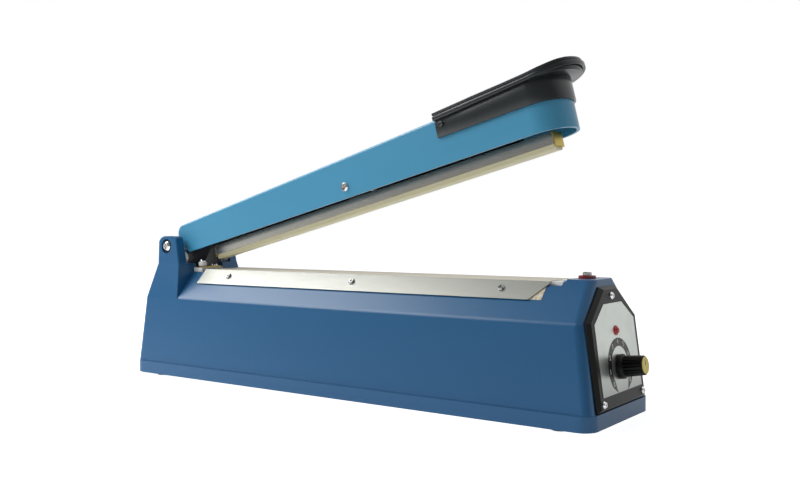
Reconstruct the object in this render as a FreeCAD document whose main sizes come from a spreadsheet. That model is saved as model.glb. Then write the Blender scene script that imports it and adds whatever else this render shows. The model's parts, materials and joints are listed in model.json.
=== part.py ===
"""Hand impulse sealer for the necks of plastic bags.

A moulded base stands on rubber feet and carries a cloth-covered sealing bed. A sprung arm is hinged
between two ears at the rear and carries a press bar with a silicone strip. The arm's nose pushes a
button at the front, and a sloping panel there has a lamp and a timer knob.

Frame: X runs from the hinge to the panel, Y across, Z up. The pieces are drawn with the origin on the
table, under the middle of the base, and exported with it under the middle of the whole sealer. The arm
is drawn in a frame of its own, with its origin on the hinge pin, X along the arm.
"""
import FreeCAD, Part
import math
import os
import re
import Sketcher

SIZES = [
    ("base_length", 430, "plinth, rear to front"),
    ("base_width", 95, "plinth, side to side"),
    ("foot_height", 2, "table to the underside of the base"),
    ("plinth_height", 10, "plinth, from the underside"),
    ("plinth_step", 1.4, "ledge where the body stands on the plinth"),
    ("plinth_round", 10, "corner radius of the plinth in plan"),
    ("corner_round", 6, "radius of the body's upright corners"),
    ("shoulder_height", 65, "where the side turns into the chamfer, from the underside"),
    ("shoulder_half", 41, "half width at the shoulder"),
    ("shoulder_round", 5, "radius along the shoulder"),
    ("deck_height", 86.8, "top deck, from the underside"),
    ("deck_half", 20.6, "half width of the deck"),
    ("front_lean", 7.75, "the front face leans back by this angle"),
    ("rear_lean", 4.7, "the rear face leans forward by this angle"),
    ("housing_wall", 2.6, "wall of the moulded base"),
    ("block_height", 91, "raised block round the button, from the underside"),
    ("block_back", 30.5, "front end to the rear edge of the raised block"),
    ("block_slope", 2.5, "run of the step up to the raised block"),
    ("block_round", 0.8, "radius along the rim of the raised block"),
    ("ear_gap", 51, "space between the ears"),
    ("seat_gap", 31, "space between the ledges at the foot of the ears"),
    ("seat_drop", 15, "hinge pin to the top of those ledges, where the springs stand"),
    ("ear_foot", 22, "pin to the front of the ear at the shoulder"),
    ("ear_waist_height", 94, "where the ear stops tapering, from the underside"),
    ("ear_waist_half", 34, "half width over the ears at their waist"),
    ("ear_waist_back", 12.5, "pin to the rear of the ear at its waist"),
    ("ear_waist_front", 17, "pin to the front of the ear at its waist"),
    ("ear_top_half", 33, "half width over the ears at the top"),
    ("ear_top_back", 10.5, "pin to the rear of the ear at its top"),
    ("ear_top_front", 12, "pin to the front of the ear at its top"),
    ("ear_top_height", 117.7, "top of the ears, from the underside"),
    ("ear_rear_round", 10, "radius of the ear's rear top corner"),
    ("ear_front_round", 5, "radius of the ear's front top corner"),
    ("ear_edge_round", 1.5, "radius of the ear's outer edges"),
    ("ear_recess_diameter", 12.5, "recess for the washer on the ear"),
    ("ear_recess_depth", 2.2, "depth of that recess"),
    ("pin_setback", 27, "rear end of the base to the hinge pin"),
    ("pin_height", 109, "hinge pin, from the underside"),
    ("pin_diameter", 8, "hinge pin"),
    ("running_gap", 0.05, "radial clearance of a running fit"),
    ("loose_gap", 0.3, "clearance between pieces that only pass each other"),
    ("plate_gauge", 1.2, "steel bottom plate"),
    ("foot_diameter", 14, "rubber foot"),
    ("boss_diameter", 8, "screw boss under the housing"),
    ("boss_inset", 12, "boss axis from the side of the plinth"),
    ("boss_setback", 26, "boss axis from the ends of the plinth"),
    ("boss_top", 60, "top of the screw bosses, from the underside"),
    ("screw_diameter", 3, "small screws"),
    ("bed_rear", 37, "hinge pin to the rear end of the bed"),
    ("bed_front", 43, "front end of the base to the front end of the bed"),
    ("bed_gauge", 2, "aluminium bed"),
    ("tape_gauge", 0.2, "insulating tape"),
    ("tape_width", 12, "insulating tape"),
    ("ribbon_gauge", 0.25, "heating ribbon"),
    ("ribbon_width", 3, "heating ribbon"),
    ("cloth_gauge", 0.25, "release cloth"),
    ("strip_gauge", 0.8, "bright strip that clamps the cloth"),
    ("strip_low", 78, "lower edge of the strip, from the underside"),
    ("strip_overlap", 2, "the strip is longer than the bed at each end"),
    ("strip_cut", 12, "slanting front corner of the strip"),
    ("strip_screw_height", 83.5, "strip screws, from the underside"),
    ("panel_half", 38, "half width of the panel at its back"),
    ("panel_face_half", 34.5, "half width of the panel's flat face"),
    ("panel_depth", 3, "panel, back to face"),
    ("panel_shoulder", 56, "panel's shoulder, up the sloping face"),
    ("panel_top", 77, "panel's top edge, up the sloping face"),
    ("panel_top_half", 13, "half width of the panel's top edge"),
    ("panel_edge", 1, "upright edge of the panel before its bevel"),
    ("panel_bevel", 2.3, "bevel at the panel's top and bottom"),
    ("label_gauge", 0.6, "dial plate"),
    ("label_recess", 0.3, "depth of its seat in the panel"),
    ("label_low", 9.2, "lower edge of the dial plate, up the face"),
    ("label_shoulder", 54.2, "shoulder of the dial plate, up the face"),
    ("label_top", 65.9, "top edge of the dial plate, up the face"),
    ("label_half", 30.7, "half width of the dial plate"),
    ("label_top_half", 14, "half width of its top edge"),
    ("lamp_rise", 48.2, "lamp, up the face"),
    ("lamp_diameter", 5, "lamp lens"),
    ("knob_rise", 24.9, "knob axis, up the face"),
    ("knob_diameter", 13.6, "knob grip"),
    ("knob_skirt_diameter", 16, "knob skirt"),
    ("knob_reach", 17, "front of the knob from the dial plate"),
    ("shaft_diameter", 6, "potentiometer shaft"),
    ("bushing_diameter", 7, "potentiometer's threaded bushing"),
    ("panel_screw_half", 31, "lower panel screws from the middle"),
    ("panel_screw_low", 5.2, "lower panel screws, up the face"),
    ("panel_screw_high", 70.6, "upper panel screw, up the face"),
    ("button_setback", 24.5, "front end of the base to the button"),
    ("button_diameter", 6, "bright crown of the button"),
    ("button_travel", 1.5, "button stroke"),
    ("collar_diameter", 11.5, "red collar"),
    ("collar_height", 2, "flange of the collar above the block"),
    ("arm_open", 13.6, "arm above level at rest"),
    ("arm_dip", 0.76, "arm below level when it is closed"),
    ("arm_half", 21, "half width of the arm cover"),
    ("arm_wall", 2.2, "wall of the arm cover"),
    ("arm_nose", 380, "pin to the nose"),
    ("arm_lower", 8.5, "lower edge of the cover below the pin"),
    ("arm_top_rear", 16.4, "top of the cover above the pin, at its rear"),
    ("arm_top_front", 26.7, "top of the cover above the pin, at the nose"),
    ("arm_rear", 2.5, "pin to the rear face of the cover"),
    ("arm_rear_low", 13.5, "pin to the rear end of the cover's lower edge"),
    ("arm_rear_break", 7, "where the cover's rear starts to slant, above the pin"),
    ("arm_rear_opening", 9.5, "top of the opening in the cover's rear, above the pin"),
    ("arm_rear_round", 8, "radius of the cover's rear top corner"),
    ("arm_edge_round", 2, "radius along the top edges of the cover"),
    ("handle_rear", 287, "pin to the rear end of the handle"),
    ("handle_low", 10.4, "lower edge of the handle's skirt above the pin"),
    ("handle_wall", 1.6, "skirt outside the cover"),
    ("handle_lip", 2.2, "the grip's rim stands out beyond the skirt"),
    ("handle_overhang", 13, "tip of the grip beyond the nose"),
    ("handle_top_rear", 28.2, "top of the grip at its rear, above the pin"),
    ("handle_top_tip", 37.5, "top of the grip at its tip, above the pin"),
    ("handle_rim_rear", 4, "thickness of the rim at the rear"),
    ("handle_rim_tip", 7, "thickness of the rim at the tip"),
    ("lever_half", 10.5, "half width of the steel lever"),
    ("lever_gauge", 2, "sheet of the lever"),
    ("lever_top", 7, "underside of the lever's top above the pin"),
    ("lever_lower", 6, "lower edge of the lever's sides below the pin"),
    ("lever_length", 335, "pin to the front end of the lever"),
    ("cheek_round", 8.5, "lever's cheek round the pin"),
    ("heel_back", 4, "pin to the rear of the heel below the lever's cheeks"),
    ("heel_reach", 14.5, "pin to the front of that heel"),
    ("heel_low", 20.5, "that heel below the pin"),
    ("bar_rear", 31, "pin to the rear end of the press bar"),
    ("bar_front", 364.5, "pin to the front end of the press bar"),
    ("bar_half", 6.5, "half width of the press bar"),
    ("bar_top", 7.2, "top of the press bar below the pin"),
    ("bar_low", 15.7, "lower face of the press bar below the pin"),
    ("strip_proud", 3.5, "silicone below the bar"),
    ("silicone_half", 5, "half width of the silicone strip"),
    ("pivot_reach", 196.5, "hinge pin to the bar's pivot screw"),
    ("pivot_diameter", 5, "bar's pivot screw"),
    ("strip_tail_half", 3, "half width of the silicone's tail in the bar"),
    ("strip_tail", 3, "depth of that tail"),
    ("pivot_slot_rise", 2.9, "top of the hanger's slot above the pin"),
    ("pivot_slot_drop", 5.6, "bottom of the hanger's slot below the pin"),
    ("hanger_half", 5, "half width of the hanger on the bar"),
    ("hanger_gauge", 1.4, "sheet of the hanger"),
    ("hanger_length", 21, "hanger along the bar"),
    ("hanger_top", 6, "top of the hanger above the pin"),
    ("clip_gauge", 1, "end clips of the press bar"),
    ("guide_rear", 62, "hinge pin to the rear guide pin of the bar"),
    ("guide_front", 295, "hinge pin to the front guide pin of the bar"),
    ("guide_diameter", 4, "guide pins of the bar"),
    ("lever_screw_rear", 110, "hinge pin to the rear screw of the lever"),
    ("lever_screw_front", 255, "hinge pin to the front screw of the lever"),
    ("handle_screw_rear", 305, "hinge pin to the rear handle screw"),
    ("handle_screw_front", 325, "hinge pin to the front handle screw"),
    ("rest_reach", 24, "hinge pin to the pin that the springs lift"),
    ("rest_height", 3, "that pin above the hinge pin"),
    ("rest_diameter", 3, "that pin"),
    ("sleeve_diameter", 10.6, "nylon sleeves on the hinge pin"),
    ("guide_disc_radius", 5, "nylon discs on the ears that guide the arm"),
    ("guide_disc_front", 10, "hinge pin to those discs"),
    ("barrel_diameter", 8.4, "barrel of the red collar"),
    ("crown_proud", 2.2, "crown of the button above its collar"),
    ("foot_screw_length", 14, "foot screws below their heads"),
    ("grommet_height", 24, "cord inlet, from the underside"),
    ("grommet_hole", 12, "hole for the cord grommet"),
    ("grommet_bore", 7, "bore of the cord grommet"),
    ("window_half", 14, "half width of the opening behind the panel"),
    ("window_low", 11, "lower edge of that opening, up the face"),
    ("window_high", 54, "upper edge of that opening, up the face"),
    ("screw_rear", 95, "rear end of the base to the rear strip screws"),
    ("screw_middle", 227, "rear end of the base to the middle strip screws"),
    ("screw_front", 355, "rear end of the base to the front strip screws"),
    ("terminal_back", 19, "hinge pin to the rear terminal's block"),
    ("terminal_length", 10, "rear terminal's block along the base"),
    ("terminal_height", 3.7, "rear terminal's block above the deck"),
    ("core_place", -10, "middle of the transformer"),
    ("bracket_reach", 42, "transformer screws from its middle"),
    ("core_limb", 11, "width of the transformer's outer limbs"),
    ("core_stack", 22, "thickness of its stack of sheets"),
    ("coil_build", 9, "winding outside that stack, on each side"),
    ("board_place", 110, "middle of the timer board"),
    ("board_length", 70, "timer board along the base"),
    ("board_width", 46, "timer board across the base"),
    ("board_gauge", 1.6, "timer board"),
    ("post_height", 8, "posts under the timer board"),
    ("switch_length", 27.8, "micro-switch across the base"),
    ("switch_width", 10.3, "micro-switch along the base"),
    ("switch_height", 15.9, "micro-switch"),
    ("handle_sag", 2.2, "hollow of the grip's top line"),
    ("front_terminal_length", 9.5, "front terminal's block along the base"),
    ("front_terminal_height", 2.4, "front terminal's block above the deck"),
    ("spring_wire", 1.6, "wire of the return springs"),
    ("coil_radius", 7, "mean radius of the return springs"),
    ("coil_pitch", 2.1, "return spring, one turn to the next"),
    ("coil_turns", 2, "whole turns of each return spring, before its part turn"),
    ("coil_inner", 12, "return spring's inner end from the middle"),
    ("base_leg_drop", 50, "the leg on the seat slopes down by this angle"),
    ("bar_spring_wire", 0.8, "wire of the bar springs"),
    ("bar_spring_radius", 3.4, "mean radius of the bar springs"),
    ("bar_spring_turns", 4, "turns of each bar spring"),
    ("button_spring_wire", 0.6, "wire of the button spring"),
    ("origin_shift", 7.8, "middle of the base to the middle of the whole sealer, along the base"),
]
NAMES = {name for name, size, note in SIZES}

doc = FreeCAD.newDocument("bag_sealer")
sheet = doc.addObject("Spreadsheet::Sheet", "sizes")
for row, (name, size, note) in enumerate(SIZES, start=1):
    sheet.set(f"A{row}", name)
    sheet.set(f"B{row}", str(size))
    sheet.setAlias(f"B{row}", name)
    sheet.set(f"C{row}", note)
doc.recompute()

PARTS = []


def linked(formula):
    """The formula with each size's name pointing at the sheet."""
    return re.sub(r"[a-z_]+", lambda word: ("sizes." if word[0] in NAMES else "") + word[0], formula)


def value(formula):
    """The formula's number, in millimetres or degrees."""
    return float(sheet.evalExpression(linked(formula)))


def bind(item, property_name, formula):
    item.setExpression(property_name, linked(formula))


# Places in the part's frame, as formulas
REAR = "(-base_length / 2)"
FRONT = "(base_length / 2)"
PIN_X = "(-base_length / 2 + pin_setback)"
PIN_Z = "(foot_height + pin_height)"
DECK_Z = "(foot_height + deck_height)"
SEAT_Z = "(foot_height + pin_height - seat_drop)"
WAIST_Z = "(foot_height + ear_waist_height)"
EAR_Z = "(foot_height + ear_top_height)"
SHOULDER_Z = "(foot_height + shoulder_height)"
PLINTH_Z = "(foot_height + plinth_height)"
BLOCK_Z = "(foot_height + block_height)"
BODY_HALF = "(base_width / 2 - plinth_step)"
CHAMFER_SLOPE = "((deck_height - shoulder_height) / (shoulder_half - deck_half))"
BUTTON_X = "(base_length / 2 - button_setback)"
BED_REAR_X = "(-base_length / 2 + pin_setback + bed_rear)"
BED_FRONT_X = "(base_length / 2 - bed_front)"
BED_Z = "(foot_height + deck_height + bed_gauge)"
CLOTH_TOP = "(foot_height + deck_height + bed_gauge + tape_gauge + ribbon_gauge + cloth_gauge)"

SCREW_HOLE = "screw_diameter / 2"
PANEL_SCREWS = [("-panel_screw_half", "panel_screw_low"), ("panel_screw_half", "panel_screw_low"),
                ("0", "panel_screw_high")]
STRIP_SCREWS = [f"({REAR} + {place})" for place in ("screw_rear", "screw_middle", "screw_front")]


def front_face(height):
    """X of the leaning front face at a height above the table."""
    return f"(base_length / 2 - plinth_step - ({height} - foot_height - plinth_height) * tan(front_lean))"


def rear_face(height):
    """X of the leaning rear face at a height above the table."""
    return f"(-base_length / 2 + plinth_step + ({height} - foot_height - plinth_height) * tan(rear_lean))"


def chamfer(height):
    """Half width of the chamfer at a height above the table."""
    return f"(deck_half + (foot_height + deck_height - ({height})) / {CHAMFER_SLOPE})"


def new_body(label):
    body = doc.addObject("PartDesign::Body", label)
    PARTS.append(body)
    return body


def helper_body(label):
    return doc.addObject("PartDesign::Body", label)


def origin_item(body, role):
    return next(item for item in body.Origin.OriginFeatures if item.Role == role)


def sketch_on(body, role, offset=None, placement=None):
    """A new sketch on one of the body's own origin planes, moved along the plane's normal."""
    sketch = body.newObject("Sketcher::SketchObject", body.Name + "_sketch")
    sketch.AttachmentSupport = [(origin_item(body, role), "")]
    sketch.MapMode = "FlatFace"
    if placement:
        sketch.AttachmentOffset = placement
    if offset:
        bind(sketch, "AttachmentOffset.Base.z", offset)
    return sketch


def hold_one(sketch, kind, curve, point, formula):
    """Ties one coordinate of a curve's point to a formula."""
    rule = Sketcher.Constraint(kind, -1, 1, curve, point, value(formula))
    bind(sketch, f"Constraints[{sketch.addConstraint(rule)}]", formula)


def hold(sketch, curve, point, across, up):
    """Ties a point of a curve to formulas for its place in the sketch."""
    hold_one(sketch, "DistanceX", curve, point, across)
    hold_one(sketch, "DistanceY", curve, point, up)


def polygon(sketch, corners):
    """A closed outline through corners, each a pair of formulas."""
    first = sketch.GeometryCount
    spots = [FreeCAD.Vector(value(across), value(up), 0) for across, up in corners]
    count = len(corners)
    for number in range(count):
        sketch.addGeometry(Part.LineSegment(spots[number], spots[(number + 1) % count]))
    for number in range(count):
        joint = (first + number, 2, first + (number + 1) % count, 1)
        sketch.addConstraint(Sketcher.Constraint("Coincident", *joint))
    for number, (across, up) in enumerate(corners):
        hold(sketch, first + number, 1, across, up)


def rectangle(sketch, left, right, low, high):
    polygon(sketch, [(left, low), (right, low), (right, high), (left, high)])


def circle(sketch, across, up, radius):
    centre = FreeCAD.Vector(value(across), value(up), 0)
    curve = sketch.addGeometry(Part.Circle(centre, FreeCAD.Vector(0, 0, 1), value(radius)))
    hold(sketch, curve, 3, across, up)
    rule = sketch.addConstraint(Sketcher.Constraint("Radius", curve, value(radius)))
    bind(sketch, f"Constraints[{rule}]", radius)


def rounded_rectangle(sketch, half_along, half_across, radius):
    """A rectangle about the origin with rounded corners."""
    along, across, size = value(half_along), value(half_across), value(radius)
    corners = [(1, 1), (-1, 1), (-1, -1), (1, -1)]
    arcs = []
    for number, (side_x, side_y) in enumerate(corners):
        middle = FreeCAD.Vector(side_x * (along - size), side_y * (across - size), 0)
        start = number * math.pi / 2
        arcs.append(sketch.addGeometry(Part.ArcOfCircle(
            Part.Circle(middle, FreeCAD.Vector(0, 0, 1), size), start, start + math.pi / 2)))
        sign_x = "" if side_x > 0 else "-"
        sign_y = "" if side_y > 0 else "-"
        hold(sketch, arcs[-1], 3, f"{sign_x}({half_along} - ({radius}))",
             f"{sign_y}({half_across} - ({radius}))")
        rule = sketch.addConstraint(Sketcher.Constraint("Radius", arcs[-1], size))
        bind(sketch, f"Constraints[{rule}]", radius)
    for number, arc in enumerate(arcs):
        following = arcs[(number + 1) % 4]
        one = sketch.Geometry[arc].EndPoint
        two = sketch.Geometry[following].StartPoint
        line = sketch.addGeometry(Part.LineSegment(one, two))
        sketch.addConstraint(Sketcher.Constraint("Tangent", arc, 2, line, 1))
        sketch.addConstraint(Sketcher.Constraint("Tangent", line, 2, following, 1))


def half_round_end(sketch, start, centre, half, far=None):
    """A closed outline with a half-round end towards +X; with far, the waste outside that end."""
    radius = value(half)
    middle = FreeCAD.Vector(value(centre), 0, 0)
    arc = sketch.addGeometry(Part.ArcOfCircle(
        Part.Circle(middle, FreeCAD.Vector(0, 0, 1), radius), -math.pi / 2, math.pi / 2))
    hold(sketch, arc, 3, centre, "0")
    rule = sketch.addConstraint(Sketcher.Constraint("Radius", arc, radius))
    bind(sketch, f"Constraints[{rule}]", half)
    side = far if far else start
    across = value(side)
    reach = f"({half}) * 1.2" if far else half
    width = value(reach)
    spots = [FreeCAD.Vector(middle.x, -radius, 0), FreeCAD.Vector(middle.x, -width, 0),
             FreeCAD.Vector(across, -width, 0), FreeCAD.Vector(across, width, 0),
             FreeCAD.Vector(middle.x, width, 0), FreeCAD.Vector(middle.x, radius, 0)]
    if not far:
        spots = [spots[0], spots[2], spots[3], spots[5]]
    lines = [sketch.addGeometry(Part.LineSegment(one, two)) for one, two in zip(spots, spots[1:])]
    sketch.addConstraint(Sketcher.Constraint("Coincident", arc, 1, lines[0], 1))
    sketch.addConstraint(Sketcher.Constraint("Coincident", arc, 2, lines[-1], 2))
    for one, two in zip(lines, lines[1:]):
        sketch.addConstraint(Sketcher.Constraint("Coincident", one, 2, two, 1))
    hold_one(sketch, "DistanceX", lines[0], 1, centre)
    for number, line in enumerate(lines[:-1]):
        low = number < len(lines) // 2
        last = far and number in (0, len(lines) - 2)
        hold(sketch, line, 2, centre if last else side, f"-({reach})" if low else reach)
    hold_one(sketch, "DistanceX", lines[-1], 2, centre)


def extrude(kind, body, sketch, length, both_ways, reverse):
    feature = body.newObject("PartDesign::" + kind, body.Name + "_" + kind.lower())
    feature.Profile = sketch
    feature.SideType = "Symmetric" if both_ways else "One side"
    feature.Reversed = reverse
    bind(feature, "Length", length)
    doc.recompute()
    return feature


def pad(body, sketch, length, both_ways=False, reverse=False):
    return extrude("Pad", body, sketch, length, both_ways, reverse)


def cut(body, sketch, length, both_ways=False, reverse=False):
    """A pocket that must take something away."""
    before = body.Shape.Volume
    feature = extrude("Pocket", body, sketch, length, both_ways, reverse)
    if body.Shape.Volume > before - 1e-3:
        raise RuntimeError(f"{feature.Name} cuts nothing")
    return feature


def turn(body, sketch, axis="V_Axis", groove=False):
    kind = "Groove" if groove else "Revolution"
    feature = body.newObject("PartDesign::" + kind, body.Name + "_" + kind.lower())
    feature.Profile = sketch
    feature.ReferenceAxis = (sketch, [axis])
    feature.Angle = 360
    doc.recompute()
    return feature


def mirror(body, features, role):
    feature = body.newObject("PartDesign::Mirrored", body.Name + "_mirrored")
    feature.Originals = features
    feature.MirrorPlane = (origin_item(body, role), [""])
    body.Tip = feature
    doc.recompute()
    return feature


def edges_where(shape, test):
    """Names of the straight edges whose two ends pass the test."""
    names = []
    for number, edge in enumerate(shape.Edges, start=1):
        ends = [vertex.Point for vertex in edge.Vertexes]
        if len(ends) == 2 and test(*ends):
            names.append(f"Edge{number}")
    return names


def round_edges(body, radius, test):
    """A fillet on the edges that pass the test, written as edge ends in the body's own frame."""
    base = body.Tip
    names = edges_where(base.Shape, test)
    if not names:
        raise RuntimeError(f"{body.Name} has no such edge")
    feature = body.newObject("PartDesign::Fillet", body.Name + "_fillet")
    feature.Base = (base, names)
    bind(feature, "Radius", radius)
    doc.recompute()
    if feature.State != ["Up-to-date"] or not feature.Shape.isValid():
        raise RuntimeError(f"{feature.Name} failed on {len(names)} edges")
    return feature


def near(one, two, slack=0.02):
    return abs(one - two) < slack


def panel_frame():
    """The sloping front face: X across, Y up the slope, Z outwards, from the top of the plinth."""
    lean = math.radians(value("front_lean"))
    up_slope = FreeCAD.Vector(-math.sin(lean), 0, math.cos(lean))
    outwards = FreeCAD.Vector(math.cos(lean), 0, math.sin(lean))
    turned = FreeCAD.Rotation(FreeCAD.Vector(0, 1, 0), up_slope, outwards, "XYZ")
    return FreeCAD.Placement(FreeCAD.Vector(value(front_face(PLINTH_Z)), 0, value(PLINTH_Z)), turned)


def rear_frame():
    """The leaning rear face at the cord inlet: Z outwards."""
    lean = math.radians(value("rear_lean"))
    height = "(foot_height + grommet_height)"
    outwards = FreeCAD.Vector(-math.cos(lean), 0, math.sin(lean))
    turned = FreeCAD.Rotation(FreeCAD.Vector(0, -1, 0), FreeCAD.Vector(), outwards, "ZXY")
    return FreeCAD.Placement(FreeCAD.Vector(value(rear_face(height)), 0, value(height)), turned)


def chamfer_frame(side):
    """The chamfer at the strip screws: X along the base, Z outwards; side is the sign of Y."""
    slope = value(CHAMFER_SLOPE)
    height = "(foot_height + strip_screw_height)"
    outwards = FreeCAD.Vector(0, side * slope, 1)
    turned = FreeCAD.Rotation(FreeCAD.Vector(1, 0, 0), FreeCAD.Vector(), outwards, "ZXY")
    return FreeCAD.Placement(FreeCAD.Vector(0, side * value(chamfer(height)), value(height)), turned)


def on_panel(item):
    item.Placement = panel_frame()


def on_arm(item):
    """Puts an item that is drawn along the level arm at the arm's rest angle."""
    item.Placement = FreeCAD.Placement(FreeCAD.Vector(), FreeCAD.Rotation(FreeCAD.Vector(0, -1, 0), 1))
    bind(item, "Placement.Base.x", PIN_X)
    bind(item, "Placement.Base.z", PIN_Z)
    bind(item, "Placement.Rotation.Angle", "arm_open")


def boolean(kind, label, base, tool):
    item = doc.addObject("Part::" + kind, label)
    item.Base = base
    item.Tool = tool
    doc.recompute()
    return item


def feature_of(label, shapes):
    """A sub-part of several like solids, or of a shape that is worked out here."""
    item = doc.addObject("Part::Feature", label)
    item.Shape = shapes[0] if len(shapes) == 1 else Part.makeCompound(shapes)
    PARTS.append(item)
    return item


def turned_solid(profile):
    """Solid of revolution about Z, from (radius, height) pairs that start and end on the axis."""
    spots = [FreeCAD.Vector(radius, 0, height) for radius, height in profile]
    face = Part.Face(Part.makePolygon(spots + spots[:1]))
    return face.revolve(FreeCAD.Vector(), FreeCAD.Vector(0, 0, 1), 360)


def screw(head_radius, head_height, shank_radius, shank_length, recess=True):
    """Pan-head screw on Z, its head above zero; the heads that show have a cross recess."""
    solid = turned_solid([
        (0, -shank_length), (shank_radius, -shank_length), (shank_radius, 0), (head_radius, 0),
        (head_radius, head_height * 0.4), (head_radius * 0.68, head_height), (0, head_height)])
    if recess:
        long_side = head_radius * 1.1
        short_side = head_radius * 0.3
        depth = head_height * 0.6
        for wide, deep in ((long_side, short_side), (short_side, long_side)):
            corner = FreeCAD.Vector(-wide / 2, -deep / 2, head_height - depth)
            solid = solid.cut(Part.makeBox(wide, deep, head_height, corner))
    return solid


def spot(across, along, height, direction=(0, 0, 1)):
    """Placement that turns Z to a direction, at a place given in numbers."""
    turned = FreeCAD.Rotation(FreeCAD.Vector(0, 0, 1), FreeCAD.Vector(*direction))
    return FreeCAD.Placement(FreeCAD.Vector(across, along, height), turned)


def copies(solid, placements):
    return [solid.transformed(placement.toMatrix(), True) for placement in placements]


def corner_waste(body, height, across, half, radius, side):
    """Sketch of what rounds an upright corner, at one height; side is the corner's sign along X."""
    sketch = sketch_on(body, "XY_Plane", height)
    size = value(radius)
    inwards = "-" if side > 0 else "+"
    outwards = "+" if side > 0 else "-"
    corner = FreeCAD.Vector(value(across), value(half), 0)
    middle = corner + FreeCAD.Vector(-side * size, -size, 0)
    start, stop = (0, math.pi / 2) if side > 0 else (math.pi / 2, math.pi)
    arc = sketch.addGeometry(Part.ArcOfCircle(
        Part.Circle(middle, FreeCAD.Vector(0, 0, 1), size), start, stop))
    beyond = corner.x + side
    spots = [FreeCAD.Vector(corner.x, middle.y, 0), FreeCAD.Vector(beyond, middle.y, 0),
             FreeCAD.Vector(beyond, corner.y + 1, 0), FreeCAD.Vector(middle.x, corner.y + 1, 0),
             FreeCAD.Vector(middle.x, corner.y, 0)]
    lines = [sketch.addGeometry(Part.LineSegment(one, two)) for one, two in zip(spots, spots[1:])]
    flank, top = (1, 2) if side > 0 else (2, 1)
    sketch.addConstraint(Sketcher.Constraint("Coincident", arc, flank, lines[0], 1))
    sketch.addConstraint(Sketcher.Constraint("Coincident", arc, top, lines[-1], 2))
    for one, two in zip(lines, lines[1:]):
        sketch.addConstraint(Sketcher.Constraint("Coincident", one, 2, two, 1))
    middle_x = f"{across} {inwards} {radius}"
    middle_y = f"{half} - {radius}"
    hold(sketch, arc, 3, middle_x, middle_y)
    rule = sketch.addConstraint(Sketcher.Constraint("Radius", arc, size))
    bind(sketch, f"Constraints[{rule}]", radius)
    hold_one(sketch, "DistanceY", lines[0], 1, middle_y)
    hold(sketch, lines[0], 2, f"{across} {outwards} 1", middle_y)
    hold(sketch, lines[1], 2, f"{across} {outwards} 1", f"{half} + 1")
    hold(sketch, lines[2], 2, middle_x, f"{half} + 1")
    hold_one(sketch, "DistanceX", lines[3], 2, middle_x)
    return sketch


def round_corner(body, levels, side):
    """Rounds an upright corner that changes direction at each level, on both flanks."""
    wastes = [corner_waste(body, *level, side) for level in levels]
    loft = body.newObject("PartDesign::SubtractiveLoft", body.Name + "_corner")
    loft.Profile = wastes[0]
    loft.Sections = wastes[1:]
    loft.Ruled = True
    doc.recompute()
    mirror(body, [loft], "XZ_Plane")


def soften_shoulders(body):
    """Takes off what an arc leaves outside the shoulder, from the ears to the front."""
    size = value("shoulder_round")
    sketch = sketch_on(body, "YZ_Plane", f"{PIN_X} + ear_foot")
    corner = FreeCAD.Vector(value("shoulder_half"), value(SHOULDER_Z), 0)
    flank = FreeCAD.Vector(value(BODY_HALF), value(PLINTH_Z), 0) - corner
    slope = FreeCAD.Vector(value("deck_half"), value(DECK_Z), 0) - corner
    flank.normalize()
    slope.normalize()
    opening = flank.getAngle(slope)
    reach = size / math.tan(opening / 2)
    low = corner + flank * reach
    high = corner + slope * reach
    middle = corner + (flank + slope).normalize() * (size / math.sin(opening / 2))
    crown = middle + (corner - middle).normalize() * size
    for side in (1, -1):
        spots = [FreeCAD.Vector(side * spot.x, spot.y, 0) for spot in (low, crown, high)]
        beyond = FreeCAD.Vector(side * (corner.x + 1.5), corner.y + 0.6, 0)
        sketch.addGeometry(Part.Arc(*spots))
        sketch.addGeometry(Part.LineSegment(spots[2], beyond))
        sketch.addGeometry(Part.LineSegment(beyond, spots[0]))
    cut(body, sketch, "base_length", reverse=True)


def hollow_underside(body):
    """The cavity under the deck: an even wall, the ends leaning as the outside does."""
    inner_low = f"({BODY_HALF} - housing_wall)"
    inner_shoulder = "(shoulder_half - housing_wall)"
    roof_z = f"({DECK_Z} - housing_wall)"
    roof_half = "(deck_half - housing_wall * 0.4)"
    end_front = f"({front_face(roof_z)} - housing_wall)"
    end_rear = f"({PIN_X} - ear_waist_back + housing_wall * 2)"
    section = sketch_on(body, "YZ_Plane", end_front)
    polygon(section, [
        (f"-{inner_low}", "foot_height"), (inner_low, "foot_height"), (inner_shoulder, SHOULDER_Z),
        (roof_half, roof_z), (f"-{roof_half}", roof_z), (f"-{inner_shoulder}", SHOULDER_Z)])
    cut(body, section, f"{end_front} - {end_rear}")
    wedges = sketch_on(body, "XZ_Plane")
    low = "foot_height"
    polygon(wedges, [
        (f"{end_front} - 1", low), (f"{front_face(PLINTH_Z)} - housing_wall", low),
        (f"{front_face(PLINTH_Z)} - housing_wall", PLINTH_Z),
        (f"{front_face(SHOULDER_Z)} - housing_wall", SHOULDER_Z), (f"{end_front} - 1", SHOULDER_Z)])
    polygon(wedges, [
        (f"{end_rear} + 1", low), (f"{rear_face(PLINTH_Z)} + housing_wall", low),
        (f"{rear_face(PLINTH_Z)} + housing_wall", PLINTH_Z),
        (f"{rear_face(SHOULDER_Z)} + housing_wall", SHOULDER_Z), (f"{end_rear} + 1", SHOULDER_Z)])
    cut(body, wedges, f"{inner_shoulder} * 2", both_ways=True)
    rebate = sketch_on(body, "XY_Plane", "foot_height")
    wall = "(housing_wall * 0.6)"
    rounded_rectangle(rebate, f"base_length / 2 - {wall}", f"base_width / 2 - {wall}",
                      f"plinth_round - {wall}")
    cut(body, rebate, "plate_gauge + loose_gap", reverse=True)


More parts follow.
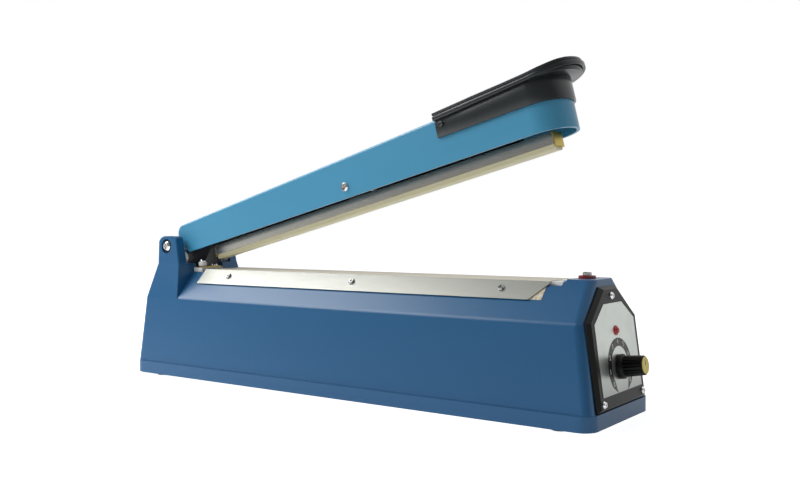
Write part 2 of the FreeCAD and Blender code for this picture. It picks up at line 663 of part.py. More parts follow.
def add_bosses(body):
    """Screw bosses with ribs for the bottom plate, and pads behind the panel for its screws."""
    bosses = sketch_on(body, "XY_Plane", "foot_height + plate_gauge + loose_gap")
    for along in ("-", ""):
        for side in ("-", ""):
            circle(bosses, f"{along}(base_length / 2 - boss_setback)",
                   f"{side}(base_width / 2 - boss_inset)", "boss_diameter / 2")
    pad(body, bosses, "boss_top - plate_gauge - loose_gap")
    ribs = sketch_on(body, "XY_Plane", "foot_height + plate_gauge + loose_gap")
    for along in ("-", ""):
        for side in ("-", ""):
            rib_x = f"{along}(base_length / 2 - boss_setback)"
            rectangle(ribs, f"{rib_x} - 1", f"{rib_x} + 1", f"{side}(base_width / 2 - boss_inset)",
                      f"{side}(shoulder_half - 0.5)")
    pad(body, ribs, "boss_top - plate_gauge - loose_gap")
    frame = panel_frame()
    pads = sketch_on(body, "XY_Plane", placement=frame)
    for across, up in PANEL_SCREWS:
        circle(pads, across, up, "boss_diameter / 2")
    pad(body, pads, "housing_wall + 4", reverse=True)


def bore_holes(body):
    """Holes for the hinge pin, the screws, the button, the grommet and what reaches the panel."""
    pin = sketch_on(body, "XZ_Plane")
    circle(pin, PIN_X, PIN_Z, "pin_diameter / 2")
    cut(body, pin, "base_width", both_ways=True)
    for reverse in (False, True):
        side = "" if reverse else "-"
        recess = sketch_on(body, "XZ_Plane", f"{'-' if reverse else ''}(ear_top_half - ear_recess_depth)")
        circle(recess, PIN_X, PIN_Z, "ear_recess_diameter / 2")
        cut(body, recess, "ear_recess_depth + 3", reverse=not reverse)
    feet = sketch_on(body, "XY_Plane", "foot_height")
    for along in ("-", ""):
        for side in ("-", ""):
            circle(feet, f"{along}(base_length / 2 - boss_setback)",
                   f"{side}(base_width / 2 - boss_inset)", SCREW_HOLE)
    cut(body, feet, "foot_screw_length", reverse=True)
    window = sketch_on(body, "XY_Plane", placement=panel_frame())
    rectangle(window, "-window_half", "window_half", "window_low", "window_high")
    cut(body, window, "housing_wall * 2")
    pilots = sketch_on(body, "XY_Plane", placement=panel_frame())
    for across, up in PANEL_SCREWS:
        circle(pilots, across, up, SCREW_HOLE)
    cut(body, pilots, "housing_wall + 5")
    collar = sketch_on(body, "XY_Plane", BLOCK_Z)
    circle(collar, BUTTON_X, "0", "barrel_diameter / 2")
    cut(body, collar, "block_height - deck_height + housing_wall * 2")
    cord = sketch_on(body, "XY_Plane", placement=rear_frame())
    circle(cord, "0", "0", "grommet_hole / 2")
    cut(body, cord, "housing_wall * 2")
    for side in (-1, 1):
        strips = sketch_on(body, "XY_Plane", placement=chamfer_frame(side))
        for place in STRIP_SCREWS:
            circle(strips, place, "0", SCREW_HOLE)
        cut(body, strips, "housing_wall * 3")


def base_housing():
    """Moulded base: drafted sides, chamfers, raised block, hinge ears and a hollow underside."""
    body = new_body("base_housing")
    block_half = chamfer(BLOCK_Z)
    section = sketch_on(body, "YZ_Plane")
    polygon(section, [
        (f"-{BODY_HALF}", PLINTH_Z), (BODY_HALF, PLINTH_Z), ("shoulder_half", SHOULDER_Z),
        (block_half, BLOCK_Z), (f"-{block_half}", BLOCK_Z), ("-shoulder_half", SHOULDER_Z)])
    pad(body, section, "base_length", both_ways=True)
    ends = sketch_on(body, "XZ_Plane")
    below = f"({PLINTH_Z} - 1)"
    above = EAR_Z
    polygon(ends, [(front_face(below), below), (f"{FRONT} + 5", below),
                   (f"{FRONT} + 5", above), (front_face(above), above)])
    polygon(ends, [(rear_face(below), below), (rear_face(SHOULDER_Z), SHOULDER_Z),
                   (f"{PIN_X} - ear_waist_back", WAIST_Z),
                   (f"{PIN_X} - ear_waist_back", above),
                   (f"{REAR} - 5", above), (f"{REAR} - 5", below)])
    cut(body, ends, "base_width * 2", both_ways=True)
    plinth_z, shoulder_z, block_z = value(PLINTH_Z), value(SHOULDER_Z), value(BLOCK_Z)

    def front_upright(one, two):
        low, high = sorted((one.z, two.z))
        lower = near(low, plinth_z) and near(high, shoulder_z)
        upper = near(low, shoulder_z) and near(high, block_z)
        return one.x > 0 and (lower or upper)

    round_edges(body, "corner_round", front_upright)
    step = sketch_on(body, "XZ_Plane")
    polygon(step, [(f"{REAR} - 5", DECK_Z), (f"{FRONT} - block_back - block_slope", DECK_Z),
                   (f"{FRONT} - block_back", BLOCK_Z), (f"{FRONT} - block_back", above),
                   (f"{REAR} - 5", above)])
    cut(body, step, "base_width", both_ways=True)
    side = sketch_on(body, "XZ_Plane")
    ear_root = f"({SHOULDER_Z} - 2)"
    polygon(side, [
        (rear_face(ear_root), ear_root), (f"{PIN_X} + ear_foot", ear_root),
        (f"{PIN_X} + ear_foot", SHOULDER_Z), (f"{PIN_X} + ear_waist_front", WAIST_Z),
        (f"{PIN_X} + ear_top_front", EAR_Z), (f"{PIN_X} - ear_top_back", EAR_Z),
        (f"{PIN_X} - ear_waist_back", WAIST_Z), (rear_face(SHOULDER_Z), SHOULDER_Z)])
    pad(body, side, "shoulder_half * 2", both_ways=True)
    flanks = sketch_on(body, "YZ_Plane", f"{PIN_X} + ear_foot + 1")
    for sign in ("", "-"):
        polygon(flanks, [
            (f"{sign}shoulder_half", SHOULDER_Z), (f"{sign}ear_waist_half", WAIST_Z),
            (f"{sign}ear_top_half", f"{EAR_Z} + 1"), (f"{sign}(shoulder_half + 5)", f"{EAR_Z} + 1"),
            (f"{sign}(shoulder_half + 5)", SHOULDER_Z)])
    cut(body, flanks, "pin_setback + ear_foot + 5")
    channel = sketch_on(body, "YZ_Plane", f"{PIN_X} + ear_foot + 1")
    polygon(channel, [
        ("-seat_gap / 2", DECK_Z), ("seat_gap / 2", DECK_Z), ("seat_gap / 2", SEAT_Z),
        ("ear_gap / 2", SEAT_Z), ("ear_gap / 2", f"{EAR_Z} + 1"), ("-ear_gap / 2", f"{EAR_Z} + 1"),
        ("-ear_gap / 2", SEAT_Z), ("-seat_gap / 2", SEAT_Z)])
    cut(body, channel, "pin_setback + ear_foot + 5")
    ear_top = value(EAR_Z)
    pin_x = value(PIN_X)

    def along_top(one, two):
        return near(one.z, ear_top) and near(two.z, ear_top) and near(one.x, two.x)

    round_edges(body, "ear_rear_round", lambda one, two: along_top(one, two) and one.x < pin_x)
    round_edges(body, "ear_front_round", lambda one, two: along_top(one, two) and one.x > pin_x)
    round_corner(body, [
        (PLINTH_Z, rear_face(PLINTH_Z), BODY_HALF, "corner_round"),
        (SHOULDER_Z, rear_face(SHOULDER_Z), "shoulder_half", "corner_round"),
        (WAIST_Z, f"({PIN_X} - ear_waist_back)", "ear_waist_half", "corner_round * 2 / 3"),
        (f"({EAR_Z} + 1)", f"({PIN_X} - ear_top_back)", "ear_top_half", "ear_edge_round")], -1)
    round_corner(body, [
        (SHOULDER_Z, f"({PIN_X} + ear_foot)", "shoulder_half", "ear_edge_round / 3"),
        (WAIST_Z, f"({PIN_X} + ear_waist_front)", "ear_waist_half", "ear_edge_round"),
        (f"({EAR_Z} + 1)", f"({PIN_X} + ear_top_front)", "ear_top_half", "ear_edge_round")], 1)
    soften_shoulders(body)
    plinth = sketch_on(body, "XY_Plane", "foot_height")
    rounded_rectangle(plinth, "base_length / 2", "base_width / 2", "plinth_round")
    pad(body, plinth, "plinth_height")

    def block_rim(one, two):
        return near(one.z, block_z) and near(two.z, block_z)

    round_edges(body, "block_round", block_rim)
    hollow_underside(body)
    add_bosses(body)
    bore_holes(body)
    return body


def arm_block(label, inset, low, rear_open=False):
    """The arm cover's outline with a half-round nose, drawn level; an inset gives its core."""
    body = helper_body(label)
    side = sketch_on(body, "XZ_Plane")
    nose = f"(arm_nose - {inset})"
    rise = "((arm_top_front - arm_top_rear) / (arm_nose - arm_rear))"
    rear = f"(arm_rear + {inset})"
    rear_top = f"(arm_top_rear + {rise} * {inset} - {inset})"
    nose_top = f"(arm_top_front - {rise} * {inset} - {inset})"
    if rear_open:
        polygon(side, [("-arm_nose / 20", low), (nose, low), (nose, nose_top), (rear, rear_top),
                       (rear, "arm_rear_opening"), ("-arm_nose / 20", "arm_rear_opening")])
    else:
        polygon(side, [("arm_rear_low", low), (nose, low), (nose, nose_top), (rear, rear_top),
                       (rear, "arm_rear_break")])
    half = f"(arm_half - {inset})"
    pad(body, side, f"{half} * 2", both_ways=True)
    if not rear_open:
        top, end = value(rear_top), value(rear)
        round_edges(body, "arm_rear_round", lambda one, two: near(one.z, top) and near(two.z, top)
                    and near(one.x, end) and near(two.x, end))
    plan = sketch_on(body, "XY_Plane", f"{low} - 5")
    half_round_end(plan, "0", "arm_nose - arm_half", half, far="arm_nose + 10")
    cut(body, plan, "arm_half * 4", reverse=True)
    return body


def arm_cover():
    """Moulded cover of the arm: open below and at the rear, with bosses for the lever's screws."""
    block = arm_block("cover_block", "0", "-arm_lower")
    line_top = value("arm_top_rear")

    def top_edge(one, two):
        return one.z > line_top - 9 and two.z > line_top - 9 and abs(one.y) > 1 and near(one.y, two.y) \
            and abs(one.x - two.x) > 1

    round_edges(block, "arm_edge_round", top_edge)
    core = arm_block("cover_core", "arm_wall", "-arm_lower * 3", rear_open=True)
    bosses = []
    for place in ("lever_screw_rear", "lever_screw_front"):
        bosses.append(upright(place, "lever_top + lever_gauge", "arm_top_front * 2", "boss_diameter / 2"))
    hollow = boolean("Cut", "cover_hollow", core, joined("cover_bosses", bosses))
    shell = boolean("Cut", "cover_shell", block, hollow)
    holes = [crosswise("pivot_reach", "0", "arm_half * 3", "pivot_diameter / 2")]
    for place in ("lever_screw_rear", "lever_screw_front"):
        holes.append(upright(place, "0", "lever_top + lever_gauge + 6.5", SCREW_HOLE))
    for place in ("handle_screw_rear", "handle_screw_front"):
        holes.append(upright(place, "arm_top_rear", "arm_top_rear * 3", SCREW_HOLE))
    cover = boolean("Cut", "arm_cover", shell, joined("cover_holes", holes))
    on_arm(cover)
    PARTS.append(cover)


def cylinder(radius, length):
    """A cylinder along its own Z, hidden among the helpers."""
    item = doc.addObject("Part::Cylinder", "rod")
    bind(item, "Radius", radius)
    bind(item, "Height", length)
    return item


def upright(place, low, high, radius):
    """A cylinder along the arm's Z, from one height to another."""
    item = cylinder(radius, f"({high}) - ({low})")
    bind(item, "Placement.Base.x", place)
    bind(item, "Placement.Base.z", low)
    return item


def crosswise(place, height, length, radius):
    """A cylinder along Y, half on each side."""
    item = cylinder(radius, length)
    item.Placement = FreeCAD.Placement(FreeCAD.Vector(), FreeCAD.Rotation(FreeCAD.Vector(-1, 0, 0), 90))
    bind(item, "Placement.Base.x", place)
    bind(item, "Placement.Base.y", f"-({length}) / 2")
    bind(item, "Placement.Base.z", height)
    return item


def joined(label, items):
    if len(items) == 1:
        return items[0]
    item = doc.addObject("Part::MultiFuse", label)
    item.Shapes = items
    doc.recompute()
    return item


def arm_lever():
    """Steel channel inside the cover, with cheeks round the hinge pin."""
    body = helper_body("lever_channel")
    side = sketch_on(body, "XZ_Plane")
    top = "(lever_top + lever_gauge)"
    polygon(side, [("-heel_back", "0"), ("-heel_back", "-heel_low"), ("heel_reach", "-heel_low"),
                   ("bar_rear", "-lever_lower"),
                   ("lever_length", "-lever_lower"), ("lever_length", top), ("0", top)])
    pad(body, side, "lever_half * 2", both_ways=True)
    cheek = sketch_on(body, "XZ_Plane")
    circle(cheek, "0", "0", "cheek_round")
    pad(body, cheek, "lever_half * 2", both_ways=True)
    inside = sketch_on(body, "XZ_Plane")
    rectangle(inside, "-cheek_round * 2", "lever_length + 5", "-heel_low * 2", "lever_top")
    cut(body, inside, "(lever_half - lever_gauge) * 2", both_ways=True)
    window = sketch_on(body, "XY_Plane", "lever_top - 1")
    rectangle(window, "pivot_reach - hanger_length / 2 - 3", "pivot_reach + hanger_length / 2 + 3",
              "-(hanger_half + 1.5)", "hanger_half + 1.5")
    for place in ("guide_rear", "guide_front"):
        circle(window, place, "0", "guide_diameter / 2 + 0.5")
    for place in ("lever_screw_rear", "lever_screw_front"):
        circle(window, place, "0", SCREW_HOLE)
    cut(body, window, "lever_gauge + 2", reverse=True)
    holes = [crosswise("0", "0", "arm_half * 2", "pin_diameter / 2 + running_gap"),
             crosswise("pivot_reach", "0", "arm_half * 2", "pivot_diameter / 2"),
             crosswise("rest_reach", "rest_height", "arm_half * 2", "rest_diameter / 2")]
    lever = boolean("Cut", "arm_lever", body, joined("lever_holes", holes))
    on_arm(lever)
    PARTS.append(lever)


def press_bar():
    """Aluminium bar with a groove for the silicone."""
    bar = helper_body("bar_section")
    section = sketch_on(bar, "YZ_Plane", "bar_rear")
    polygon(section, [
        ("bar_half", "-bar_top"), ("-bar_half", "-bar_top"), ("-bar_half", "-bar_low"),
        ("-strip_tail_half", "-bar_low"), ("-strip_tail_half", "strip_tail - bar_low"),
        ("strip_tail_half", "strip_tail - bar_low"), ("strip_tail_half", "-bar_low"),
        ("bar_half", "-bar_low")])
    pad(bar, section, "bar_front - bar_rear")
    holes = [upright(place, "strip_tail - bar_low", "0", "guide_diameter / 2")
             for place in ("guide_rear", "guide_front")]
    item = boolean("Cut", "press_bar", bar, joined("bar_holes", holes))
    on_arm(item)
    PARTS.append(item)
    strip = new_body("silicone_strip")
    profile = sketch_on(strip, "YZ_Plane", "bar_rear")
    low = "(bar_low + strip_proud)"
    polygon(profile, [
        ("silicone_half", "-bar_low"), ("strip_tail_half", "-bar_low"),
        ("strip_tail_half", "strip_tail - bar_low"), ("-strip_tail_half", "strip_tail - bar_low"),
        ("-strip_tail_half", "-bar_low"), ("-silicone_half", "-bar_low"), ("-silicone_half", f"1 - {low}"),
        ("1 - silicone_half", f"-{low}"), ("silicone_half - 1", f"-{low}"), ("silicone_half", f"1 - {low}")])
    pad(strip, profile, "bar_front - bar_rear")
    on_arm(strip)
    clips = new_body("bar_end_clips")
    ends = sketch_on(clips, "XZ_Plane")
    rectangle(ends, "bar_front", "bar_front + clip_gauge", "-(bar_low + 1.5)", "-bar_top")
    rectangle(ends, "bar_rear - clip_gauge", "bar_rear", "-(bar_low + 1.5)", "-bar_top")
    pad(clips, ends, "bar_half * 2", both_ways=True)
    on_arm(clips)


def bar_hanger():
    """U-shaped plate on the bar, slotted for the pivot screw."""
    body = new_body("bar_hanger")
    side = sketch_on(body, "XZ_Plane")
    rear = "(pivot_reach - hanger_length / 2)"
    front = "(pivot_reach + hanger_length / 2)"
    rectangle(side, rear, front, "-bar_top", "hanger_top")
    pad(body, side, "hanger_half * 2", both_ways=True)
    inside = sketch_on(body, "XZ_Plane")
    rectangle(inside, f"{rear} - 1", f"{front} + 1", "hanger_gauge - bar_top", "hanger_top + 1")
    cut(body, inside, "(hanger_half - hanger_gauge) * 2", both_ways=True)
    slot = sketch_on(body, "XZ_Plane")
    reach = "(pivot_diameter / 2 + loose_gap)"
    rectangle(slot, f"pivot_reach - {reach}", f"pivot_reach + {reach}", "-pivot_slot_drop", "pivot_slot_rise")
    cut(body, slot, "hanger_half * 3", both_ways=True)
    on_arm(body)


def arm_hardware():
    """Screws, pins and nuts that ride on the arm."""
    arm = FreeCAD.Placement(FreeCAD.Vector(value(PIN_X), 0, value(PIN_Z)),
                            FreeCAD.Rotation(FreeCAD.Vector(0, -1, 0), value("arm_open")))

    def ride(label, shapes):
        feature_of(label, [shape.transformed(arm.toMatrix(), True) for shape in shapes])

    radius = value("screw_diameter") / 2
    lever_screw = screw(2.8, 1.8, radius, value("lever_gauge") + 6, False)
    under = value("lever_top")
    ride("lever_screws", copies(lever_screw, [
        spot(value(place), 0, under, (0, 0, -1)) for place in ("lever_screw_rear", "lever_screw_front")]))
    rise = (value("arm_top_front") - value("arm_top_rear")) / (value("arm_nose") - value("arm_rear"))
    normal = FreeCAD.Vector(0, 0, -1)
    seats = []
    for place in ("handle_screw_rear", "handle_screw_front"):
        roof = value("arm_top_rear") + rise * (value(place) - value("arm_rear")) - value("arm_wall")
        seats.append(spot(value(place), 0, roof - 0.08, tuple(normal)))
    ride("handle_screws", copies(screw(2.8, 1.8, radius, 4.2, False), seats))
    half = value("arm_half")
    shank = value("pivot_diameter") / 2
    pivot = screw(3.5, 2, shank, half * 2 + 2.5)
    ride("bar_pivot_screw", copies(pivot, [spot(value("pivot_reach"), -half, 0, (0, -1, 0))]))
    nut = hexagon(4.2, 2.5, shank)
    ride("bar_pivot_nut", copies(nut, [spot(value("pivot_reach"), half, 0, (0, 1, 0))]))
    pin_radius = value("guide_diameter") / 2
    low = value("strip_tail") - value("bar_low")
    top = value("lever_top") + value("lever_gauge") + value("loose_gap")
    guide = turned_solid([(0, low), (pin_radius, low), (pin_radius, top), (3.4, top),
                          (3.4, top + 1), (0, top + 1)])
    ride("bar_guide_pins", copies(guide, [spot(value("guide_rear"), 0, 0), spot(value("guide_front"), 0, 0)]))
    rest_half = half - value("arm_wall") - 0.5
    rest = Part.makeCylinder(value("rest_diameter") / 2, rest_half * 2,
                             FreeCAD.Vector(value("rest_reach"), -rest_half, value("rest_height")),
                             FreeCAD.Vector(0, 1, 0))
    ride("spring_rest_pin", [rest])
    wire = value("bar_spring_wire")
    coil_low = wire / 2 - value("bar_top")
    coil_high = value("lever_top") - wire / 2
    turns = value("bar_spring_turns")
    coil = wound(value("bar_spring_radius"), (coil_high - coil_low) / turns, 0, turns, wire, flats=6)
    ride("bar_springs", copies(coil, [spot(value("guide_rear"), 0, coil_low),
                                      spot(value("guide_front"), 0, coil_low)]))


def hexagon(corner_radius, height, bore):
    """A hexagonal nut on Z, standing on zero."""
    corners = [FreeCAD.Vector(corner_radius * math.cos(step * math.pi / 3),
                              corner_radius * math.sin(step * math.pi / 3), 0) for step in range(7)]
    solid = Part.Face(Part.makePolygon(corners)).extrude(FreeCAD.Vector(0, 0, height))
    return solid.cut(Part.makeCylinder(bore, height))


def biarc(start, heading, end, leaving):
    """Two arcs from one point and direction to another, meeting smoothly."""
    chord = end - start
    both = heading + leaving
    bend = 2 * (1 - heading.dot(leaving))
    lean = chord.dot(both)
    reach = (math.sqrt(lean * lean + bend * chord.dot(chord)) - lean) / bend
    out = start + heading * reach
    back = end - leaving * reach
    middle = (out + back) * 0.5
    arcs = []
    for one, bend_point, two in ((start, out, middle), (middle, back, end)):
        weight = (two - one).Length / 2 / reach
        crown = (one + bend_point * (2 * weight) + two) * (1 / (2 + 2 * weight))
        arcs.append(Part.Arc(one, crown, two).toShape())
    return arcs


def wound(radius, pitch, first, turns, wire, legs=None, flats=0):
    """One unbroken wire that climbs about Z from an angle in degrees, its ends level, with straight legs.

    With flats, the wire has that many sides, for a spring that hides inside another piece."""
    steps = max(4, round(turns * 4))
    slope = pitch / (2 * math.pi * radius)
    knots = []
    for step in range(steps + 1):
        angle = math.radians(first) + 2 * math.pi * turns * step / steps
        height = pitch * turns * step / steps
        place = FreeCAD.Vector(radius * math.cos(angle), radius * math.sin(angle), height)
        climb = 0 if step in (0, steps) else slope
        heading = FreeCAD.Vector(-math.sin(angle), math.cos(angle), climb)
        knots.append((place, heading.normalize()))
    edges = []
    for (start, heading), (end, leaving) in zip(knots, knots[1:]):
        edges += biarc(start, heading, end, leaving)
    begin, toward = knots[0]
    if legs:
        begin = knots[0][0] - knots[0][1] * legs[0]
        edges.insert(0, Part.makeLine(begin, knots[0][0]))
        edges.append(Part.makeLine(knots[-1][0], knots[-1][0] + knots[-1][1] * legs[1]))
    spine = Part.Wire(edges)
    note_gap(spine, wire, radius)
    ring = Part.Wire(Part.makeCircle(wire / 2, begin, toward))
    if flats:
        ring = Part.makePolygon(ring.discretize(flats + 1))
    return spine.makePipeShell([ring], True, False)


def note_gap(spine, wire, radius):
    """Prints the least gap of a wire to itself, measured on points of its middle line."""
    spots = spine.discretize(Distance=0.4)
    apart = int(math.pi * radius / 0.4)
    least = min((spots[one] - spots[two]).Length
                for one in range(len(spots)) for two in range(one + apart, len(spots)))
    print(f"least gap between turns {least - wire:.2f} mm")


def return_springs():
    """Two torsion springs on the hinge sleeves, mirrored; one leg on the seat, one under the rest pin."""
    wire = value("spring_wire")
    radius = value("coil_radius")
    reach = value("rest_reach")
    rise = value("rest_height")
    lift = radius + value("rest_diameter") / 2 + wire / 2
    droop = math.degrees(math.asin(lift / math.hypot(reach, rise)) - math.atan2(rise, reach))
    arm_leg = value("arm_open") - droop
    base_leg = value("base_leg_drop")
    foot = math.radians(base_leg)
    fall = value(PIN_Z) - radius * math.cos(foot) - value(SEAT_Z) - wire / 2
    first = 90 + arm_leg
    turns = (270 - base_leg - first) / 360 + value("coil_turns")
    legs = (reach + 4, fall / math.sin(foot))
    coil = wound(radius, value("coil_pitch"), first, turns, wire, legs, flats=8)
    place = FreeCAD.Placement(
        FreeCAD.Vector(value(PIN_X), -value("coil_inner"), value(PIN_Z)),
        FreeCAD.Rotation(FreeCAD.Vector(1, 0, 0), FreeCAD.Vector(0, 0, 1), FreeCAD.Vector(0, -1, 0), "XYZ"))
    near_spring = coil.transformed(place.toMatrix(), True)
    far_spring = near_spring.mirror(FreeCAD.Vector(), FreeCAD.Vector(0, 1, 0))
    feature_of("return_springs", [near_spring, far_spring])


def hinge():
    """Pin, sleeves, washers and screws between the ears."""
    pin_x, pin_z = value(PIN_X), value(PIN_Z)
    ear = value("ear_top_half")
    floor = ear - value("ear_recess_depth")
    radius = value("pin_diameter") / 2
    across = FreeCAD.Vector(0, 1, 0)

    def rod(size, low, high):
        return Part.makeCylinder(size, high - low, FreeCAD.Vector(pin_x, low, pin_z), across)

    pin = rod(radius, -floor, floor)
    for side in (-1, 1):
        hole = rod(1.5, side * floor - 8, side * floor + 8)
        pin = pin.cut(hole)
    feature_of("hinge_pin", [pin])
    inner = value("lever_half") + value("loose_gap")
    gap = value("ear_gap") / 2
    sleeve = value("sleeve_diameter") / 2
    sleeves = [rod(sleeve, low, high).cut(rod(radius, low, high))
               for low, high in ((-gap, -inner), (inner, gap))]
    guide = value("arm_half") + 0.9
    disc = value("guide_disc_radius")
    for low in (-gap, guide):
        centre = FreeCAD.Vector(pin_x + value("guide_disc_front"), low, value(SEAT_Z) + disc)
        sleeves.append(Part.makeCylinder(disc, gap - guide, centre, across))
    feature_of("hinge_sleeves", sleeves)
    washer_radius = value("ear_recess_diameter") / 2 - 0.2
    washers = []
    for low in (-floor - 1, floor):
        washers.append(rod(washer_radius, low, low + 1).cut(rod(1.5, low, low + 1)))
    feature_of("hinge_washers", washers)
    head = screw(4.2, 2.6, 1.5, 8)
    feature_of("hinge_screws", copies(head, [spot(pin_x, side * (floor + 1), pin_z, (0, side, 0))
                                             for side in (-1, 1)]))


def underside():
    """Bottom plate, feet and their screws."""
    plate = new_body("bottom_plate")
    wall = "(housing_wall * 0.6 + loose_gap)"
    low = "(foot_height + loose_gap)"
    outline = sketch_on(plate, "XY_Plane", low)
    rounded_rectangle(outline, f"base_length / 2 - {wall}", f"base_width / 2 - {wall}",
                      f"plinth_round - {wall}")
    pad(plate, outline, "plate_gauge")
    holes = sketch_on(plate, "XY_Plane", low)
    spots = []
    for along in ("-", ""):
        for side in ("-", ""):
            across = f"{along}(base_length / 2 - boss_setback)"
            away = f"{side}(base_width / 2 - boss_inset)"
            circle(holes, across, away, SCREW_HOLE)
            spots.append((value(across), value(away)))
    for side in ("-", ""):
        circle(holes, f"core_place {side or '+'} bracket_reach", "0", SCREW_HOLE)
    cut(plate, holes, "plate_gauge * 2", reverse=True)
    under = value(low)
    foot_radius = value("foot_diameter") / 2
    foot = turned_solid([(0, 0), (foot_radius - 1, 0), (foot_radius, under), (0, under)])
    foot = foot.cut(Part.makeCylinder(3.2, under - 0.9)).cut(Part.makeCylinder(1.5, under))
    feature_of("rubber_feet", copies(foot, [spot(across, away, 0) for across, away in spots]))
    foot_screw = screw(2.9, 1.2, value("screw_diameter") / 2, value("foot_screw_length"), False)
    feature_of("foot_screws", copies(foot_screw, [spot(across, away, under - 0.9, (0, 0, -1))
                                                  for across, away in spots]))


def front_panel():
    """Bevelled panel on the sloping front, with its dial plate, lamp and screws."""
    panel = new_body("front_panel")
    shoulder = "panel_shoulder"

    def outline(height, half, low, high, top, top_half):
        sketch = sketch_on(panel, "XY_Plane", height)
        polygon(sketch, [(f"-{half}", low), (half, low), (half, high), (top_half, top),
                         (f"-{top_half}", top), (f"-{half}", high)])
        return sketch

    back = outline("0", "panel_half", "loose_gap", shoulder, "panel_top", "panel_top_half")
    pad(panel, back, "panel_edge")
    middle = outline("panel_edge", "panel_half", "loose_gap", shoulder, "panel_top", "panel_top_half")
    face = outline("panel_depth", "panel_face_half", "panel_bevel", f"{shoulder} - 0.5",
                   "panel_top - panel_bevel", "(panel_top_half - 3)")
    loft = panel.newObject("PartDesign::AdditiveLoft", "panel_bevels")
    loft.Profile = middle
    loft.Sections = [face]
    loft.Ruled = True
    doc.recompute()
    seat = sketch_on(panel, "XY_Plane", "panel_depth")
    label_outline(seat)
    cut(panel, seat, "label_recess")
    holes = sketch_on(panel, "XY_Plane", "panel_depth")
    circle(holes, "0", "lamp_rise", "lamp_diameter / 2")
    circle(holes, "0", "knob_rise", "bushing_diameter / 2")
    for across, up in PANEL_SCREWS:
        circle(holes, across, up, SCREW_HOLE)
    cut(panel, holes, "panel_depth * 2")
    on_panel(panel)
    label = new_body("panel_label")
    sheet_outline = sketch_on(label, "XY_Plane", "panel_depth - label_recess")
    label_outline(sheet_outline)
    circle(sheet_outline, "0", "lamp_rise", "lamp_diameter / 2")
    circle(sheet_outline, "0", "knob_rise", "bushing_diameter / 2")
    pad(label, sheet_outline, "label_gauge")
    on_panel(label)
    frame = panel_frame()
    head = screw(2.4, 1.6, value("screw_diameter") / 2, 9)
    seats = [frame.multiply(spot(value(across), value(up), value("panel_depth")))
             for across, up in PANEL_SCREWS]
    feature_of("panel_screws", copies(head, seats))
    face_z = value("panel_depth") - value("label_recess") + value("label_gauge")
    lens = value("lamp_diameter") / 2
    rim = lens + 0.7
    lamp = turned_solid([(0, -6), (lens, -6), (lens, face_z), (rim, face_z), (rim, face_z + 0.5),
                         (lens * 0.9, face_z + 1.1), (lens * 0.6, face_z + 1.9), (0, face_z + 2.2)])
    feature_of("indicator_lamp", copies(lamp, [frame.multiply(spot(0, value("lamp_rise"), 0))]))
    timer(frame, face_z)


def label_outline(sketch):
    polygon(sketch, [("-label_half", "label_low"), ("label_half", "label_low"),
                     ("label_half", "label_shoulder"), ("label_top_half", "label_top"),
                     ("-label_top_half", "label_top"), ("-label_half", "label_shoulder")])


def timer(frame, face_z):
    """Potentiometer behind the panel, its nut, shaft, fluted knob and cap."""
    axis = frame.multiply(spot(0, value("knob_rise"), 0))
    bushing = value("bushing_diameter") / 2
    shaft = value("shaft_diameter") / 2
    bore = shaft - 0.5
    nut_top = face_z + 2
    body = turned_solid([(0, -9), (11, -9), (12, -8), (12, 0), (bushing, 0), (bushing, nut_top),
                         (0, nut_top)])
    body = body.cut(Part.makeCylinder(bore + value("running_gap"), nut_top + 5, FreeCAD.Vector(0, 0, -5)))
    feature_of("timer_potentiometer", copies(body, [axis]))
    feature_of("timer_nut", copies(hexagon(5.2, 2, bushing), [axis.multiply(spot(0, 0, face_z))]))
    reach = face_z + value("knob_reach")
    rod = turned_solid([(0, -4.7), (bore, -4.7), (bore, nut_top + 0.5), (shaft, nut_top + 0.5),
                        (shaft, reach - 3), (0, reach - 3)])
    feature_of("timer_shaft", copies(rod, [axis]))
    grip = value("knob_diameter") / 2
    skirt = value("knob_skirt_diameter") / 2
    low = face_z + 0.4
    knob = turned_solid([(0, low), (skirt - 0.4, low), (skirt, low + 0.4), (skirt, low + 2.2),
                         (grip, low + 3.4), (grip - 0.5, reach - 0.8), (grip - 1.1, reach - 0.3),
                         (0, reach - 0.3)])
    knob = knob.cut(Part.makeCylinder(6, nut_top + 0.5 - low, FreeCAD.Vector(0, 0, low)))
    knob = knob.cut(Part.makeCylinder(shaft, reach - 3 - low, FreeCAD.Vector(0, 0, low)))
    corners = [FreeCAD.Vector(grip - 0.85, 0, low + 3.9), FreeCAD.Vector(grip + 0.6, -1, low + 3.9),
               FreeCAD.Vector(grip + 0.6, 1, low + 3.9)]
    flute = Part.Face(Part.makePolygon(corners + corners[:1])).extrude(FreeCAD.Vector(0, 0, reach))
    flutes = 18
    for step in range(flutes):
        turned = FreeCAD.Rotation(FreeCAD.Vector(0, 0, 1), 360 / flutes * step)
        place = FreeCAD.Placement(FreeCAD.Vector(), turned)
        knob = knob.cut(flute.transformed(place.toMatrix(), True))
    recess = Part.makeCylinder(5.5, 1, FreeCAD.Vector(0, 0, reach - 0.8))
    knob = knob.cut(recess)
    feature_of("timer_knob", copies(knob, [axis]))
    cap = Part.makeCylinder(5.5, 0.8, FreeCAD.Vector(0, 0, reach - 0.8))
    feature_of("knob_cap", copies(cap, [axis]))


